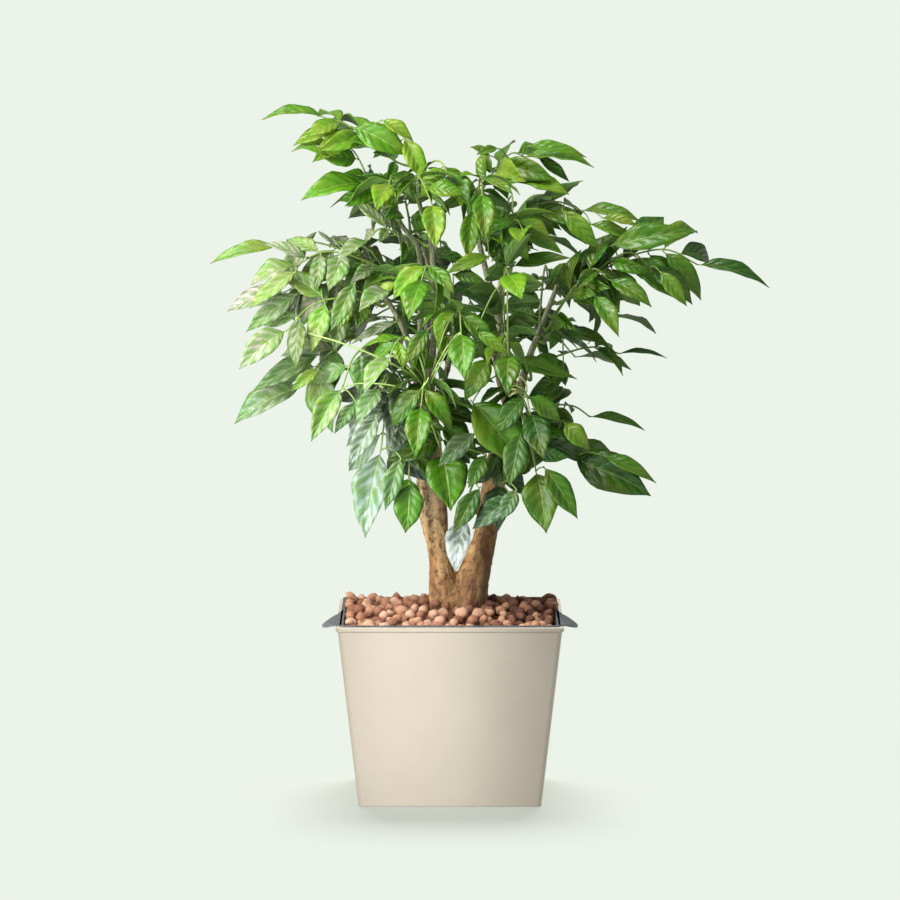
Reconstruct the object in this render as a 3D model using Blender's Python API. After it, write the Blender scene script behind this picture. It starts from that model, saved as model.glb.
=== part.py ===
"""Potted china doll plant: a square tapered planter with a thin nursery liner, soil, a bed of clay pebbles, a
woody trunk with two leaders and thin shoots, and the compound leaves, one object for each.

The frame: metres, +Z up, the origin in the middle of the planter's flat base, -Y to the front. The tables
below are in millimetres and degrees."""

import math
import random
from collections import namedtuple

import bmesh
import bpy
from mathutils import Matrix, Vector
from mathutils.bvhtree import BVHTree

MM = 0.001
GAP = 0.3
UP = Vector((0, 0, 1))
FRONT = Vector((0, -1, 0))

# Planter
POT_HEIGHT = 182
POT_BASE = 181
POT_BODY_TOP = 221
POT_RIM = 225
POT_LIP_HEIGHT = 4.5
POT_WALL = 4.5
POT_FLOOR = 7
POT_CORNER = 5
POT_FOOT = 1.5

# Nursery liner
LINER_WALL = 1.2
LINER_FLOOR = POT_FLOOR + GAP
LINER_PLAY = 0.8
LINER_FLANGE = 218
LIP_FRONT = -102
LIP_LENGTHS = (116, 76, 76, 76)
LIP_REACH = 13
LIP_DROP = 5.5
LIP_END = 0.8
DRAIN_HOLE = 9
DRAIN_CIRCLE = 52

# Soil and clay pebbles
SOIL_TOP = 163
SOIL_HOLE = 29.5
SOIL_HOLE_DEPTH = 22.5
BED_THICKNESS = 13
PEBBLE_SPACING = 25
PEBBLE_RADIUS = (11.4, 13.6)
PEBBLE_FLATNESS = 0.82
PEBBLE_SINK = 1.5
PEBBLE_SHAKE = 0.16
ROW_PITCH = 0.87
PEBBLE_SEED = 4
MOUND = 5

# Trunk: each limb is a list of centre points and radii, x, y, z, radius. The stump is less deep than wide.
STUMP = [(8, 0, 131, 21), (8, 0, 160, 25), (8, 0, 186, 27), (8, 0, 203, 22), (8, 0, 213, 11)]
STUMP_DEPTH = 0.74
LEFT_LEADER = [
    (-4, 0, 188, 17), (-7, 0, 214, 14.5), (-10, 0, 236, 11.5), (-13, 0, 264, 11.5), (-16, 0, 292, 12.5),
    (-20, 0, 332, 12.5), (-23, 0, 366, 12), (-24, 0, 392, 11.5),
]
RIGHT_LEADER = [
    (20, 0, 188, 18), (22, 0, 212, 17.5), (28, 0, 234, 14.5), (35, 0, 258, 12), (40, 0, 286, 12),
    (45, 0, 324, 11.5), (52, 0, 348, 10.5), (60, 0, 369, 8.5), (66, 0, 386, 7.5),
]
SIDE_STEM = [
    (-13, -5, 238, 5), (-23, -6, 276, 7), (-27, -5, 330, 7.5), (-30, -4, 378, 6.5), (-31, -3, 404, 6),
]
CUT_STUB = [(38, -3, 282, 5), (25, -8, 287, 4.6), (18, -10, 290, 4.2)]
SHOOTS = {
    "left_tall": [
        (-31, -3, 396, 4.8), (-29, 2, 450, 3.8), (-30, 5, 500, 3.4), (-31, 8, 545, 3.1), (-49, 9, 572, 2.6),
        (-65, 8, 605, 2.1),
    ],
    "middle_tall": [
        (-20, 4, 384, 4.8), (-18, 7, 430, 3.9), (-16, 7, 480, 3.5), (-19, 6, 558, 3), (-30, 6, 590, 2.5),
        (-32, 5, 630, 2),
    ],
    "middle_front": [(-20, -6, 384, 4.2), (-8, -14, 412, 3.5), (0, -20, 442, 3), (3, -24, 472, 2.5)],
    "left_out": [(-28, -4, 388, 5), (-36, -6, 430, 3.9), (-47, -7, 470, 3.2), (-66, -8, 502, 2.5)],
    "right_tall": [
        (65, 0, 380, 5.6), (60, 4, 430, 4.2), (45, 8, 490, 3.6), (28, 10, 560, 2.8), (25, 8, 606, 2.1),
    ],
    "right_out": [(65, 0, 378, 5.6), (76, -3, 430, 3.9), (95, -6, 480, 3.1), (107, -6, 512, 2.5)],
    "right_front": [(62, -3, 374, 4.6), (50, -26, 414, 3.5), (42, -42, 456, 2.6)],
    "back_left": [(-20, 6, 382, 4.6), (-24, 30, 446, 3.5), (-20, 55, 515, 2.7), (-34, 72, 565, 2.1)],
    "back_right": [(63, 4, 374, 5), (54, 35, 440, 3.7), (50, 64, 500, 2.9), (62, 82, 555, 2.1)],
}
WHOLE_LIMBS = dict(SHOOTS, left_leader=LEFT_LEADER, right_leader=RIGHT_LEADER)
WOOD_SIDES = 3
SHOOT_SIDES = 2

# Fronds. A frond leaves its limb at a share of its length and ends with the tip of its end leaflet. slope is
# how far that leaflet points down, face how far the leaflets turn from facing up to facing the front, and
# arch how far the stalk rises above the straight line.
Frond = namedtuple("Frond", "name limb at tip slope face pairs leaf arch")
FRONDS = [
    Frond("top_left_high", "middle_tall", 1.0, (-187, -8, 676), 2, 26, 3, 60, -3),
    Frond("top_left_low", "left_tall", 0.93, (-158, 4, 644), 6, 30, 1, 44, 8),
    Frond("left_upper", "left_tall", 1.0, (-148, -22, 597), 12, 50, 2, 66, 16),
    Frond("top_right", "right_tall", 1.0, (143, -10, 629), 8, 36, 3, 66, 15),
    Frond("top_right_low", "right_tall", 0.94, (116, -30, 606), 10, 36, 1, 52, 8),
    Frond("right_upper", "right_tall", 0.8, (190, -14, 575), 10, 38, 3, 58, 20),
    Frond("right_far", "right_out", 1.0, (318, -10, 509), 18, 44, 4, 72, 28),
    Frond("right_far_low", "right_out", 0.88, (240, -44, 495), 40, 46, 2, 54, 22),
    Frond("right_second", "right_out", 0.78, (199, -64, 494), 28, 46, 3, 52, 22),
    Frond("right_second_low", "right_out", 0.68, (166, -82, 466), 48, 50, 2, 50, 22),
    Frond("right_middle", "right_out", 0.58, (160, -24, 449), 14, 38, 2, 48, 12),
    Frond("right_thin", "right_out", 0.42, (217, 12, 437), 6, 22, 1, 46, 16),
    Frond("right_inner", "right_out", 0.3, (126, -46, 426), 22, 36, 2, 48, 12),
    Frond("right_low_small", "right_leader", 0.99, (195, -6, 366), 14, 36, 2, 54, 18),
    Frond("right_low_big", "right_leader", 0.93, (200, -40, 304), 24, 72, 2, 84, 24),
    Frond("right_hanging", "right_leader", 0.9, (95, -86, 272), 66, 56, 2, 62, 26),
    Frond("left_hanging", "left_out", 0.12, (-84, -56, 264), 76, 60, 2, 84, 34),
    Frond("left_hanging_small", "left_leader", 0.96, (-46, -84, 284), 64, 58, 1, 44, 16),
    Frond("left_middle_low", "left_leader", 0.98, (-92, -84, 378), 44, 52, 2, 48, 22),
    Frond("left_far", "left_tall", 0.56, (-239, -10, 533), 14, 56, 2, 68, 8),
    Frond("left_far_low", "left_tall", 0.52, (-197, -44, 514), 22, 36, 2, 48, 20),
    Frond("left_curled", "left_tall", 0.72, (-112, -58, 536), 28, 46, 2, 44, 18),
    Frond("left_middle_high", "left_out", 1.0, (-221, -26, 487), 18, 50, 3, 58, 22),
    Frond("left_middle", "left_out", 0.93, (-208, -72, 433), 36, 54, 3, 60, 28),
    Frond("left_low", "left_out", 0.6, (-214, -42, 376), 28, 56, 2, 74, 34),
    Frond("left_low_inner", "left_out", 0.34, (-137, -78, 362), 54, 56, 2, 60, 32),
    Frond("left_inner_narrow", "left_tall", 0.42, (-132, 62, 462), 8, 30, 1, 52, 14),
    Frond("left_inner_high", "middle_tall", 0.42, (-84, -92, 484), 30, 46, 3, 48, 18),
    Frond("left_inner_low", "middle_front", 0.5, (-84, -118, 412), 42, 50, 3, 50, 24),
    Frond("centre_low", "left_leader", 0.97, (1, -84, 294), 58, 58, 2, 60, 28),
    Frond("front_low", "right_leader", 0.76, (48, -72, 273), 58, 54, 1, 48, 20),
    Frond("crotch", "right_leader", 0.66, (5, -37, 227), 76, 60, 0, 54, 14),
    Frond("centre_dark", "right_front", 1.0, (70, -150, 508), 22, 42, 3, 52, 22),
    Frond("crown_front", "middle_tall", 0.97, (18, -92, 594), 34, 44, 3, 50, 14),
    Frond("crown_down", "middle_tall", 0.82, (-14, -128, 556), 52, 50, 3, 50, 20),
    Frond("crown_right", "right_tall", 0.92, (34, -104, 562), 54, 50, 2, 52, 18),
    Frond("crown_left", "left_tall", 0.84, (-72, -84, 590), 26, 42, 2, 52, 14),
    Frond("middle_right_high", "right_tall", 0.62, (92, -112, 542), 30, 44, 3, 52, 20),
    Frond("middle_left_front", "middle_front", 0.96, (-40, -160, 488), 42, 48, 3, 52, 22),
    Frond("middle_front", "middle_front", 0.82, (14, -168, 432), 50, 50, 3, 52, 26),
    Frond("middle_right_front", "right_front", 0.8, (62, -160, 412), 48, 50, 3, 52, 26),
    Frond("middle_low_front", "middle_front", 0.2, (-34, -138, 352), 54, 52, 2, 56, 24),
    Frond("right_low_front", "right_front", 0.36, (92, -118, 348), 50, 52, 2, 54, 26),
]

# The back of the crown: fronds placed by a rule that turns by the golden angle and climbs from limb to limb
BACK_LIMBS = ["back_left", "back_right", "left_tall", "back_right", "back_left", "right_out", "middle_tall"]
BACK_FRONDS = 12
GOLDEN_TURN = 0.618
BACK_FROM, BACK_TO = 12, 168
BACK_LOW, BACK_HIGH = 385, 585
BACK_REACH = 215
BACK_SEED = 33

# Leaflets
BLADE = 0.8
STALK_ROOT = 1.3
STALK_TIP = 0.8
LEAF_STALK = 1.1
WIDTH_SHARE = 0.52
GROWTH_A, GROWTH_B = 0.9, 1.35
BARE = 0.07
BEND = 42
FOLD = 17
SIDE_ANGLE = 54
HANG = 0.14
FIRST_PAIR, LAST_PAIR = 0.5, 0.9
ROWS_LONG = (0.16, 0.44, 0.76)
ROWS_SHORT = (0.3, 0.7)
ROWS_TEST = (0.16, 0.3, 0.5, 0.75)
OWN_START = 0.06
LONG_LEAFLET = 64
TURNS = [
    (0, 0), (8, -8), (-8, 8), (0, -16), (0, 16), (16, 0), (-16, 0), (14, -18), (-14, 18), (24, -26),
    (-24, 26), (0, -30), (0, 30), (32, 0), (-32, 0), (20, 30), (-20, 30), (30, -34), (-30, -34),
]
SHRINKS = (1.0, 0.82, 0.66)
STALK_SHIFTS = [(0, 0), (0, 10), (10, 0), (-10, 0), (0, 20), (18, 8), (-18, 8), (0, -12), (26, 16), (-26, 16)]
CLEAR = 0.5
MOUTH_CLEAR = 14
LIMB_SHIFTS = (0, -0.06, 0.06, -0.12, -0.2)
SEAT = 0.6
ROOT_REACH = 4.5
SEARCH = 9
# Round windows through the crown that the leaflets leave open: x, z and radius
SIGHT_GAPS = [
    (-63, 487, 7), (-80, 465, 8), (-100, 441, 8), (-38, 454, 8), (77, 534, 8), (90, 552, 6), (6, 560, 9),
    (-85, 641, 7), (-70, 631, 6), (-10, 640, 12), (15, 635, 10), (-28, 643, 8), (70, 607, 4), (125, 599, 6),
    (-118, 575, 12), (-148, 569, 8), (-90, 572, 9), (-166, 574, 7), (-43, 587, 7), (-60, 548, 7),
    (110, 493, 8), (132, 484, 6), (80, 448, 6), (113, 445, 9), (134, 434, 7), (133, 416, 7), (68, 408, 6),
    (127, 397, 7),
    (102, 326, 8), (-110, 352, 7), (131, 380, 7), (-172, 596, 8), (184, 466, 8), (50, 656, 5),
]
SIGHT_DEPTH = 230
SIGHT_RISE = 23
LEAF_TONES = {"leaf_light": (0.2, 0.36, 0.05), "leaf_mid": (0.1, 0.25, 0.03), "leaf_dark": (0.05, 0.15, 0.03)}
SHADE_BEHIND, SHADE_RIGHT, SHADE_BELOW = 60, 80, 450
LIGHT_ABOVE, LIGHT_BEFORE = 540, -110

Leaflet = namedtuple("Leaflet", "base heading normal length width bend fold twist distance way")
Placed = namedtuple("Placed", "name stalk up leaflets")


def new_collection(name):
    collection = bpy.data.collections.new(name)
    bpy.context.scene.collection.children.link(collection)
    return collection


def material(name, colour, roughness, metallic=0.0):
    made = bpy.data.materials.new(name)
    made.use_nodes = True
    shader = made.node_tree.nodes["Principled BSDF"]
    shader.inputs["Base Color"].default_value = (*colour, 1)
    shader.inputs["Roughness"].default_value = roughness
    shader.inputs["Metallic"].default_value = metallic
    return made


def add_object(name, mesh, collection, finish=None):
    made = bpy.data.objects.new(name, mesh)
    collection.objects.link(made)
    if finish:
        mesh.materials.clear()
        mesh.materials.append(finish)
    return made


def mesh_of(bm, name):
    """The bmesh as a mesh in metres, from millimetres."""
    bmesh.ops.scale(bm, vec=(MM, MM, MM), verts=bm.verts)
    mesh = bpy.data.meshes.new(name)
    bm.to_mesh(mesh)
    bm.free()
    return mesh


def applied(obj):
    """The object's evaluated mesh in place of its own, with its modifiers gone."""
    graph = bpy.context.evaluated_depsgraph_get()
    mesh = bpy.data.meshes.new_from_object(obj.evaluated_get(graph))
    obj.modifiers.clear()
    obj.data = mesh
    return obj


def keep_main_body(mesh):
    """Drops loose scraps, and the inner faces of hollows that the union sealed."""
    bm = bmesh.new()
    bm.from_mesh(mesh)
    islands, seen = [], set()
    for start in bm.verts:
        if start in seen:
            continue
        island, edge_of_island = {start}, [start]
        while edge_of_island:
            for edge in edge_of_island.pop().link_edges:
                for vert in edge.verts:
                    if vert not in island:
                        island.add(vert)
                        edge_of_island.append(vert)
        seen |= island
        islands.append(island)
    main_body = max(islands, key=len)
    bmesh.ops.delete(bm, geom=[vert for vert in bm.verts if vert not in main_body], context="VERTS")
    bm.to_mesh(mesh)
    bm.free()


def fuse(obj, pieces, solver="EXACT"):
    """Joins the pieces to the object with one Boolean union on a collection, and removes them."""
    group = bpy.data.collections.new(obj.name + "_pieces")
    for piece in pieces:
        group.objects.link(piece)
    union = obj.modifiers.new("union", "BOOLEAN")
    union.operation = "UNION"
    union.operand_type = "COLLECTION"
    union.collection = group
    union.solver = solver
    applied(obj)
    keep_main_body(obj.data)
    for piece in pieces:
        bpy.data.objects.remove(piece)
    bpy.data.collections.remove(group)
    return obj


def cut(obj, cutter):
    """Takes the cutter away from the object."""
    cutter.hide_render = True
    cutter.display_type = "WIRE"
    difference = obj.modifiers.new("cut", "BOOLEAN")
    difference.operation = "DIFFERENCE"
    difference.object = cutter


def shade_round(obj, angle=35):
    obj.data.shade_smooth()
    obj.data.set_sharp_from_angle(angle=math.radians(angle))


def tapered_box(bm, bottom, top, low, high, corner):
    """A square block with rounded upright edges. Returns its top face."""
    bmesh.ops.create_cube(bm, size=1)
    for vert in bm.verts:
        side = top if vert.co.z > 0 else bottom
        vert.co = (vert.co.x * side, vert.co.y * side, high if vert.co.z > 0 else low)
    upright = [edge for edge in bm.edges if abs(edge.verts[0].co.z - edge.verts[1].co.z) > 1]
    bmesh.ops.bevel(bm, geom=upright, offset=corner, affect="EDGES", segments=3, profile=0.5, material=-1)
    return max(bm.faces, key=lambda face: face.calc_center_median().z)


def step_face(bm, face, share, height):
    """Extrudes a level face, scales it about the axis and moves it to a height."""
    face = bmesh.ops.extrude_discrete_faces(bm, faces=[face])["faces"][0]
    for vert in face.verts:
        vert.co = (vert.co.x * share, vert.co.y * share, height)
    return face


def make_pot(collection):
    bm = bmesh.new()
    top = tapered_box(bm, POT_BASE, POT_BODY_TOP, 0, POT_HEIGHT - POT_LIP_HEIGHT, POT_CORNER)
    foot = [edge for edge in bm.edges if all(vert.co.z < 0.1 for vert in edge.verts)]
    bmesh.ops.bevel(bm, geom=foot, offset=POT_FOOT, affect="EDGES", segments=1, profile=0.5, material=-1)
    top = max(bm.faces, key=lambda face: face.calc_center_median().z)
    inner_top = POT_RIM - 2 * POT_WALL - 1
    inner_base = POT_BASE - 2 * POT_WALL
    top = step_face(bm, top, POT_RIM / POT_BODY_TOP, POT_HEIGHT - POT_LIP_HEIGHT)
    top = step_face(bm, top, 1, POT_HEIGHT)
    top = step_face(bm, top, inner_top / POT_RIM, POT_HEIGHT)
    step_face(bm, top, inner_base / inner_top, POT_FLOOR)
    finish = material("cream_planter", (0.71, 0.64, 0.52), 0.42)
    return add_object("pot", mesh_of(bm, "pot"), collection, finish)


def liner_sides():
    """Outer widths of the liner at its floor and under its flange."""
    top = POT_RIM - 2 * POT_WALL - 1 - 2 * LINER_PLAY
    bottom = POT_BASE - 2 * POT_WALL - 2 * LINER_PLAY
    return bottom, top


def side_lip(side):
    """A thin strip that reaches out over the planter's rim, near the front, and curves down outside it."""
    bm = bmesh.new()
    bmesh.ops.create_grid(bm, x_segments=len(LIP_LENGTHS) - 1, y_segments=6, size=1)
    bmesh.ops.solidify(bm, geom=bm.faces[:], thickness=LINER_WALL)
    lowest = min(vert.co.z for vert in bm.verts)
    flange, rim = LINER_FLANGE / 2 - 2, POT_RIM / 2 + 0.6
    columns = [(flange, 0, 0), (rim, 0, 0), (rim, 0.62, 0.3), (rim, 1, 1)]
    for vert in bm.verts:
        column = round((vert.co.x + 1) / 2 * (len(columns) - 1))
        start, reach, drop = columns[column]
        bulge = 1 - vert.co.y**2
        across = start + reach * (LIP_REACH * bulge + LIP_END)
        along = LIP_FRONT + (vert.co.y + 1) / 2 * LIP_LENGTHS[column]
        level = POT_HEIGHT + GAP + vert.co.z - lowest
        vert.co = (side * across, along, level - drop * LIP_DROP * bulge)
    bmesh.ops.recalc_face_normals(bm, faces=bm.faces)
    return mesh_of(bm, "side_lip")


def make_liner(collection, guides):
    bottom, top = liner_sides()
    bm = bmesh.new()
    under_flange = POT_HEIGHT + GAP
    face = tapered_box(bm, bottom, top, LINER_FLOOR, under_flange, POT_CORNER)
    face = step_face(bm, face, LINER_FLANGE / top, under_flange)
    face = step_face(bm, face, 1, under_flange + LINER_WALL)
    face = step_face(bm, face, (top - 2 * LINER_WALL) / LINER_FLANGE, under_flange + LINER_WALL)
    step_face(bm, face, (bottom - 2 * LINER_WALL) / (top - 2 * LINER_WALL), LINER_FLOOR + LINER_WALL)
    finish = material("dark_liner", (0.06, 0.065, 0.07), 0.5)
    liner = add_object("liner", mesh_of(bm, "liner"), collection, finish)
    lips = [add_object(f"lip_{side}", side_lip(side), collection) for side in (-1, 1)]
    fuse(liner, lips)
    holes = bmesh.new()
    for turn in range(4):
        angle = math.radians(45 + 90 * turn)
        centre = (DRAIN_CIRCLE * math.cos(angle), DRAIN_CIRCLE * math.sin(angle), LINER_FLOOR)
        bmesh.ops.create_cone(
            holes, cap_ends=True, segments=8, radius1=DRAIN_HOLE / 2, radius2=DRAIN_HOLE / 2, depth=8,
            matrix=Matrix.Translation(centre),
        )
    cut(liner, add_object("drain_holes", mesh_of(holes, "drain_holes"), guides))
    return liner


def trunk_hole(name, guides):
    """The oval block that leaves room for the stump, from the floor of its hole to above the pebbles."""
    low, high = STUMP[0][2] - GAP, SOIL_TOP + 2 * BED_THICKNESS
    bm = bmesh.new()
    bmesh.ops.create_cone(
        bm, cap_ends=True, segments=24, radius1=SOIL_HOLE, radius2=SOIL_HOLE, depth=high - low,
        matrix=Matrix.Translation((STUMP[0][0], 0, (low + high) / 2)),
    )
    bmesh.ops.scale(bm, vec=(1, SOIL_HOLE_DEPTH / SOIL_HOLE, 1), verts=bm.verts)
    return add_object(name, mesh_of(bm, name), guides)


def make_soil(collection, guides):
    bottom, top = liner_sides()
    floor = LINER_FLOOR + LINER_WALL + GAP
    inside = 2 * (LINER_WALL + 0.5)
    low = bottom - inside
    widen = (top - bottom) / (POT_HEIGHT - POT_FLOOR)
    high = low + widen * (SOIL_TOP - floor)
    bm = bmesh.new()
    tapered_box(bm, low, high, floor, SOIL_TOP, POT_CORNER)
    finish = material("potting_mix", (0.05, 0.035, 0.025), 0.95)
    soil = add_object("soil", mesh_of(bm, "soil"), collection, finish)
    cut(soil, trunk_hole("soil_hole", guides))
    return soil


def pebble_places(spacing, sizes, seed, edge):
    """Centres and radii of the pebbles: a staggered, shaken grid, heaped a little towards the trunk."""
    rng = random.Random(seed)
    places = []
    rows = int(2 * edge / (spacing * ROW_PITCH)) + 1
    for row in range(rows):
        for column in range(int(2 * edge / spacing) + 1):
            radius = rng.uniform(*sizes)
            limit = edge - radius
            shake = PEBBLE_SHAKE * spacing
            x = -limit + (column + 0.5 * (row % 2)) * spacing + rng.uniform(-shake, shake)
            y = -limit + row * spacing * ROW_PITCH + rng.uniform(-shake, shake)
            x = max(-limit, min(limit, x))
            y = max(-limit, min(limit, y))
            off_trunk = math.hypot(x - STUMP[0][0], y * SOIL_HOLE / SOIL_HOLE_DEPTH)
            if off_trunk < SOIL_HOLE + radius + 0.5:
                continue
            heap = MOUND * (1 - min(1, off_trunk / edge))
            places.append((x, y, heap + rng.uniform(-1, 1), radius, rng.random()))
    return places


def make_clay_pebbles(collection, guides):
    top = liner_sides()[1] - 2 * LINER_WALL
    edge = top / 2 - 1.6
    base = SOIL_TOP + GAP
    bm = bmesh.new()
    tapered_box(bm, 2 * edge - 2.4, 2 * edge, base, base + BED_THICKNESS, POT_CORNER)
    finish = material("fired_clay", (0.42, 0.2, 0.12), 0.85)
    bed = add_object("clay_pebbles", mesh_of(bm, "clay_pebbles"), collection, finish)
    pebbles = []
    for x, y, rise, radius, turn in pebble_places(PEBBLE_SPACING, PEBBLE_RADIUS, PEBBLE_SEED, edge):
        ball = bmesh.new()
        spin = Matrix.Rotation(turn * 2 * math.pi, 4, Vector((turn, 0.5, 1 - turn)).normalized())
        level = base + BED_THICKNESS - PEBBLE_SINK + rise
        place = Matrix.Translation((x, y, level)) @ Matrix.Diagonal((1, 1, PEBBLE_FLATNESS, 1)) @ spin
        bmesh.ops.create_icosphere(ball, subdivisions=1, radius=radius, matrix=place)
        pebbles.append(add_object("pebble", mesh_of(ball, "pebble"), collection))
    fuse(bed, pebbles, "MANIFOLD")
    cut(bed, trunk_hole("bed_hole", guides))
    return bed


def tube(name, points, radii, sides, collection):
    """A tapered stem with closed ends, as a mesh object."""
    curve = bpy.data.curves.new(name, "CURVE")
    curve.dimensions = "3D"
    curve.bevel_depth = MM
    curve.bevel_resolution = sides
    curve.use_fill_caps = True
    spline = curve.splines.new("POLY")
    spline.points.add(len(points) - 1)
    for point, place, radius in zip(spline.points, points, radii):
        point.co = (*(Vector(place) * MM), 1)
        point.radius = radius
    guide = bpy.data.objects.new(name, curve)
    collection.objects.link(guide)
    graph = bpy.context.evaluated_depsgraph_get()
    mesh = bpy.data.meshes.new_from_object(guide.evaluated_get(graph))
    bpy.data.objects.remove(guide)
    bm = bmesh.new()
    bm.from_mesh(mesh)
    bmesh.ops.remove_doubles(bm, verts=bm.verts, dist=1e-6)
    bmesh.ops.recalc_face_normals(bm, faces=bm.faces)
    bm.to_mesh(mesh)
    bm.free()
    return add_object(name, mesh, collection)


def limb_tube(name, limb, sides, collection):
    return tube(name, [row[:3] for row in limb], [row[3] for row in limb], sides, collection)


def make_trunk(collection):
    finish = material("tan_bark", (0.42, 0.27, 0.13), 0.8)
    trunk = limb_tube("trunk", STUMP, WOOD_SIDES, collection)
    trunk.data.transform(Matrix.Diagonal((1, STUMP_DEPTH, 1, 1)))
    trunk.data.materials.append(finish)
    limbs = [limb_tube("limb", limb, WOOD_SIDES, collection) for limb in (LEFT_LEADER, RIGHT_LEADER)]
    thin = [SIDE_STEM, CUT_STUB, *SHOOTS.values()]
    limbs += [limb_tube("limb", limb, SHOOT_SIDES, collection) for limb in thin]
    fuse(trunk, limbs)
    shade_round(trunk)
    return trunk


def prism(points, radii, sides):
    """Vertices and faces of a round stem, for the clearance test."""
    verts, faces = [], []
    for index, (point, radius) in enumerate(zip(points, radii)):
        ahead = points[min(index + 1, len(points) - 1)] - points[max(index - 1, 0)]
        turn = ahead.to_track_quat("Z", "Y")
        for side in range(sides):
            angle = 2 * math.pi * side / sides
            verts.append(point + turn @ Vector((radius * math.cos(angle), radius * math.sin(angle), 0)))
    for ring in range(len(points) - 1):
        for side in range(sides):
            after = (side + 1) % sides
            low, high = ring * sides, (ring + 1) * sides
            faces.append((low + side, low + after, high + after, high + side))
    faces.append(tuple(range(sides)))
    faces.append(tuple(range((len(points) - 1) * sides, len(points) * sides)))
    return verts, faces


def half_width(leaflet, along):
    """An egg-shaped leaf that stands off on a short bare stalk and narrows to a long drip tip."""
    widest = GROWTH_A / (GROWTH_A + GROWTH_B)
    peak = widest**GROWTH_A * (1 - widest) ** GROWTH_B
    grown = max(0, (along - BARE) / (1 - BARE))
    return leaflet.width / 2 * grown**GROWTH_A * (1 - grown) ** GROWTH_B / peak


def blade_point(leaflet, along, across, lift=0.0):
    """The place on a leaflet at shares of its length and half width, bent down, folded and twisted."""
    side = leaflet.heading.cross(leaflet.normal)
    bent = leaflet.bend * along
    centre = leaflet.base + leaflet.length * (
        leaflet.heading * math.sin(bent) - leaflet.normal * (1 - math.cos(bent))
    ) / leaflet.bend
    normal = leaflet.normal * math.cos(bent) + leaflet.heading * math.sin(bent)
    rolled = leaflet.twist * along
    out = side * math.cos(rolled) + normal * math.sin(rolled)
    normal = normal * math.cos(rolled) - side * math.sin(rolled)
    reach = across * half_width(leaflet, along)
    folded = out * (reach * math.cos(leaflet.fold)) + normal * (abs(reach) * math.sin(leaflet.fold))
    return centre + folded + normal * lift


def blade_feet(leaflet, start, thickness):
    """The four corners where a blade begins: left and right on top, then left and right below."""
    side = leaflet.heading.cross(leaflet.normal) * LEAF_STALK
    foot = blade_point(leaflet, start, 0)
    lift = leaflet.normal * (thickness / 2)
    return [foot - side + lift, foot + side + lift, foot - side - lift, foot + side - lift]


def blade(leaflet, rows, thickness, feet):
    """Vertices and faces of one leaflet from its feet to its tip: a thin folded sheet, split alike on both
    faces. The face that closes it at its feet is left out."""
    half = thickness / 2
    verts = []
    for lift, pair in ((half, feet[:2]), (-half, feet[2:])):
        verts += pair
        for along in rows:
            verts += [blade_point(leaflet, along, across, lift) for across in (-1, 0, 1)]
    tip = len(verts)
    verts.append(blade_point(leaflet, 1.0, 0))
    under = 2 + 3 * len(rows)
    last = 2 + 3 * (len(rows) - 1)
    top = [(0, 3, 2), (0, 1, 3), (1, 4, 3)]
    for row in range(len(rows) - 1):
        first = 2 + 3 * row
        for step in (0, 1):
            a, b, c, d = first + step, first + step + 1, first + step + 4, first + step + 3
            top += [(a, b, c), (a, c, d)] if step else [(a, b, d), (b, c, d)]
    top += [(last, last + 1, tip), (last + 1, last + 2, tip)]
    below = [tuple(index if index == tip else index + under for index in reversed(face)) for face in top]
    left = [0] + [2 + 3 * row for row in range(len(rows))]
    right = [1] + [4 + 3 * row for row in range(len(rows))]
    rim = [(b, b + under, a + under, a) for a, b in zip(left, left[1:])]
    rim += [(a, a + under, b + under, b) for a, b in zip(right, right[1:])]
    rim += [(tip, last + under, last), (last + 2, last + 2 + under, tip)]
    return verts, top + below + rim


def test_blade(leaflet, thickness, rows=ROWS_TEST, start=0.0):
    """A leaflet, or its outer stretch, for the clearance test."""
    return blade(leaflet, rows, thickness, blade_feet(leaflet, start, thickness))


def leaflet_rows(leaflet):
    return ROWS_LONG if leaflet.length >= LONG_LEAFLET else ROWS_SHORT


class Clearance:
    """What already stands in the crown, which later pieces keep clear of."""

    def __init__(self):
        self.verts, self.faces = [], []
        self.tree = None

    def add(self, verts, faces):
        start = len(self.verts)
        self.verts += verts
        self.faces += [tuple(index + start for index in face) for face in faces]
        self.tree = None

    def free(self, verts, faces):
        if not self.faces:
            return True
        if self.tree is None:
            self.tree = BVHTree.FromPolygons(self.verts, self.faces)
        return not self.tree.overlap(BVHTree.FromPolygons(verts, faces))


def limb_point(limb, at):
    """The centre, direction and radius of a limb at a share of its length."""
    points = [Vector(row[:3]) for row in limb]
    spans = [(b - a).length for a, b in zip(points, points[1:])]
    left = at * sum(spans) * 0.9999
    for index, span in enumerate(spans):
        if left <= span:
            break
        left -= span
    share = left / span
    along = (points[index + 1] - points[index]).normalized()
    radius = limb[index][3] * (1 - share) + limb[index + 1][3] * share
    return points[index].lerp(points[index + 1], share), along, radius


def bezier(a, b, c, d, count):
    places = []
    for step in range(count):
        t = step / (count - 1)
        places.append(a * (1 - t) ** 3 + b * 3 * t * (1 - t) ** 2 + c * 3 * t * t * (1 - t) + d * t**3)
    return places


def leaf_frame(heading, up):
    heading = heading.normalized()
    return heading, (up - heading * up.dot(heading)).normalized()


def turned(heading, normal, yaw, pitch):
    """The leaf's frame turned about its own normal and then lifted."""
    spun = Matrix.Rotation(math.radians(yaw), 3, normal) @ heading
    axis = spun.cross(normal)
    lift = Matrix.Rotation(math.radians(pitch), 3, axis)
    return (lift @ spun).normalized(), (lift @ normal).normalized()


def stalk_length(places):
    return sum((b - a).length for a, b in zip(places, places[1:]))


def stalk_frames(places, up):
    """The direction and upper side of each stretch of a stalk, turned as little as can be from the next."""
    frames = []
    for start, end in reversed(list(zip(places, places[1:]))):
        forward, up = leaf_frame(end - start, up)
        frames.append((forward, up))
    return frames[::-1]


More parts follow.
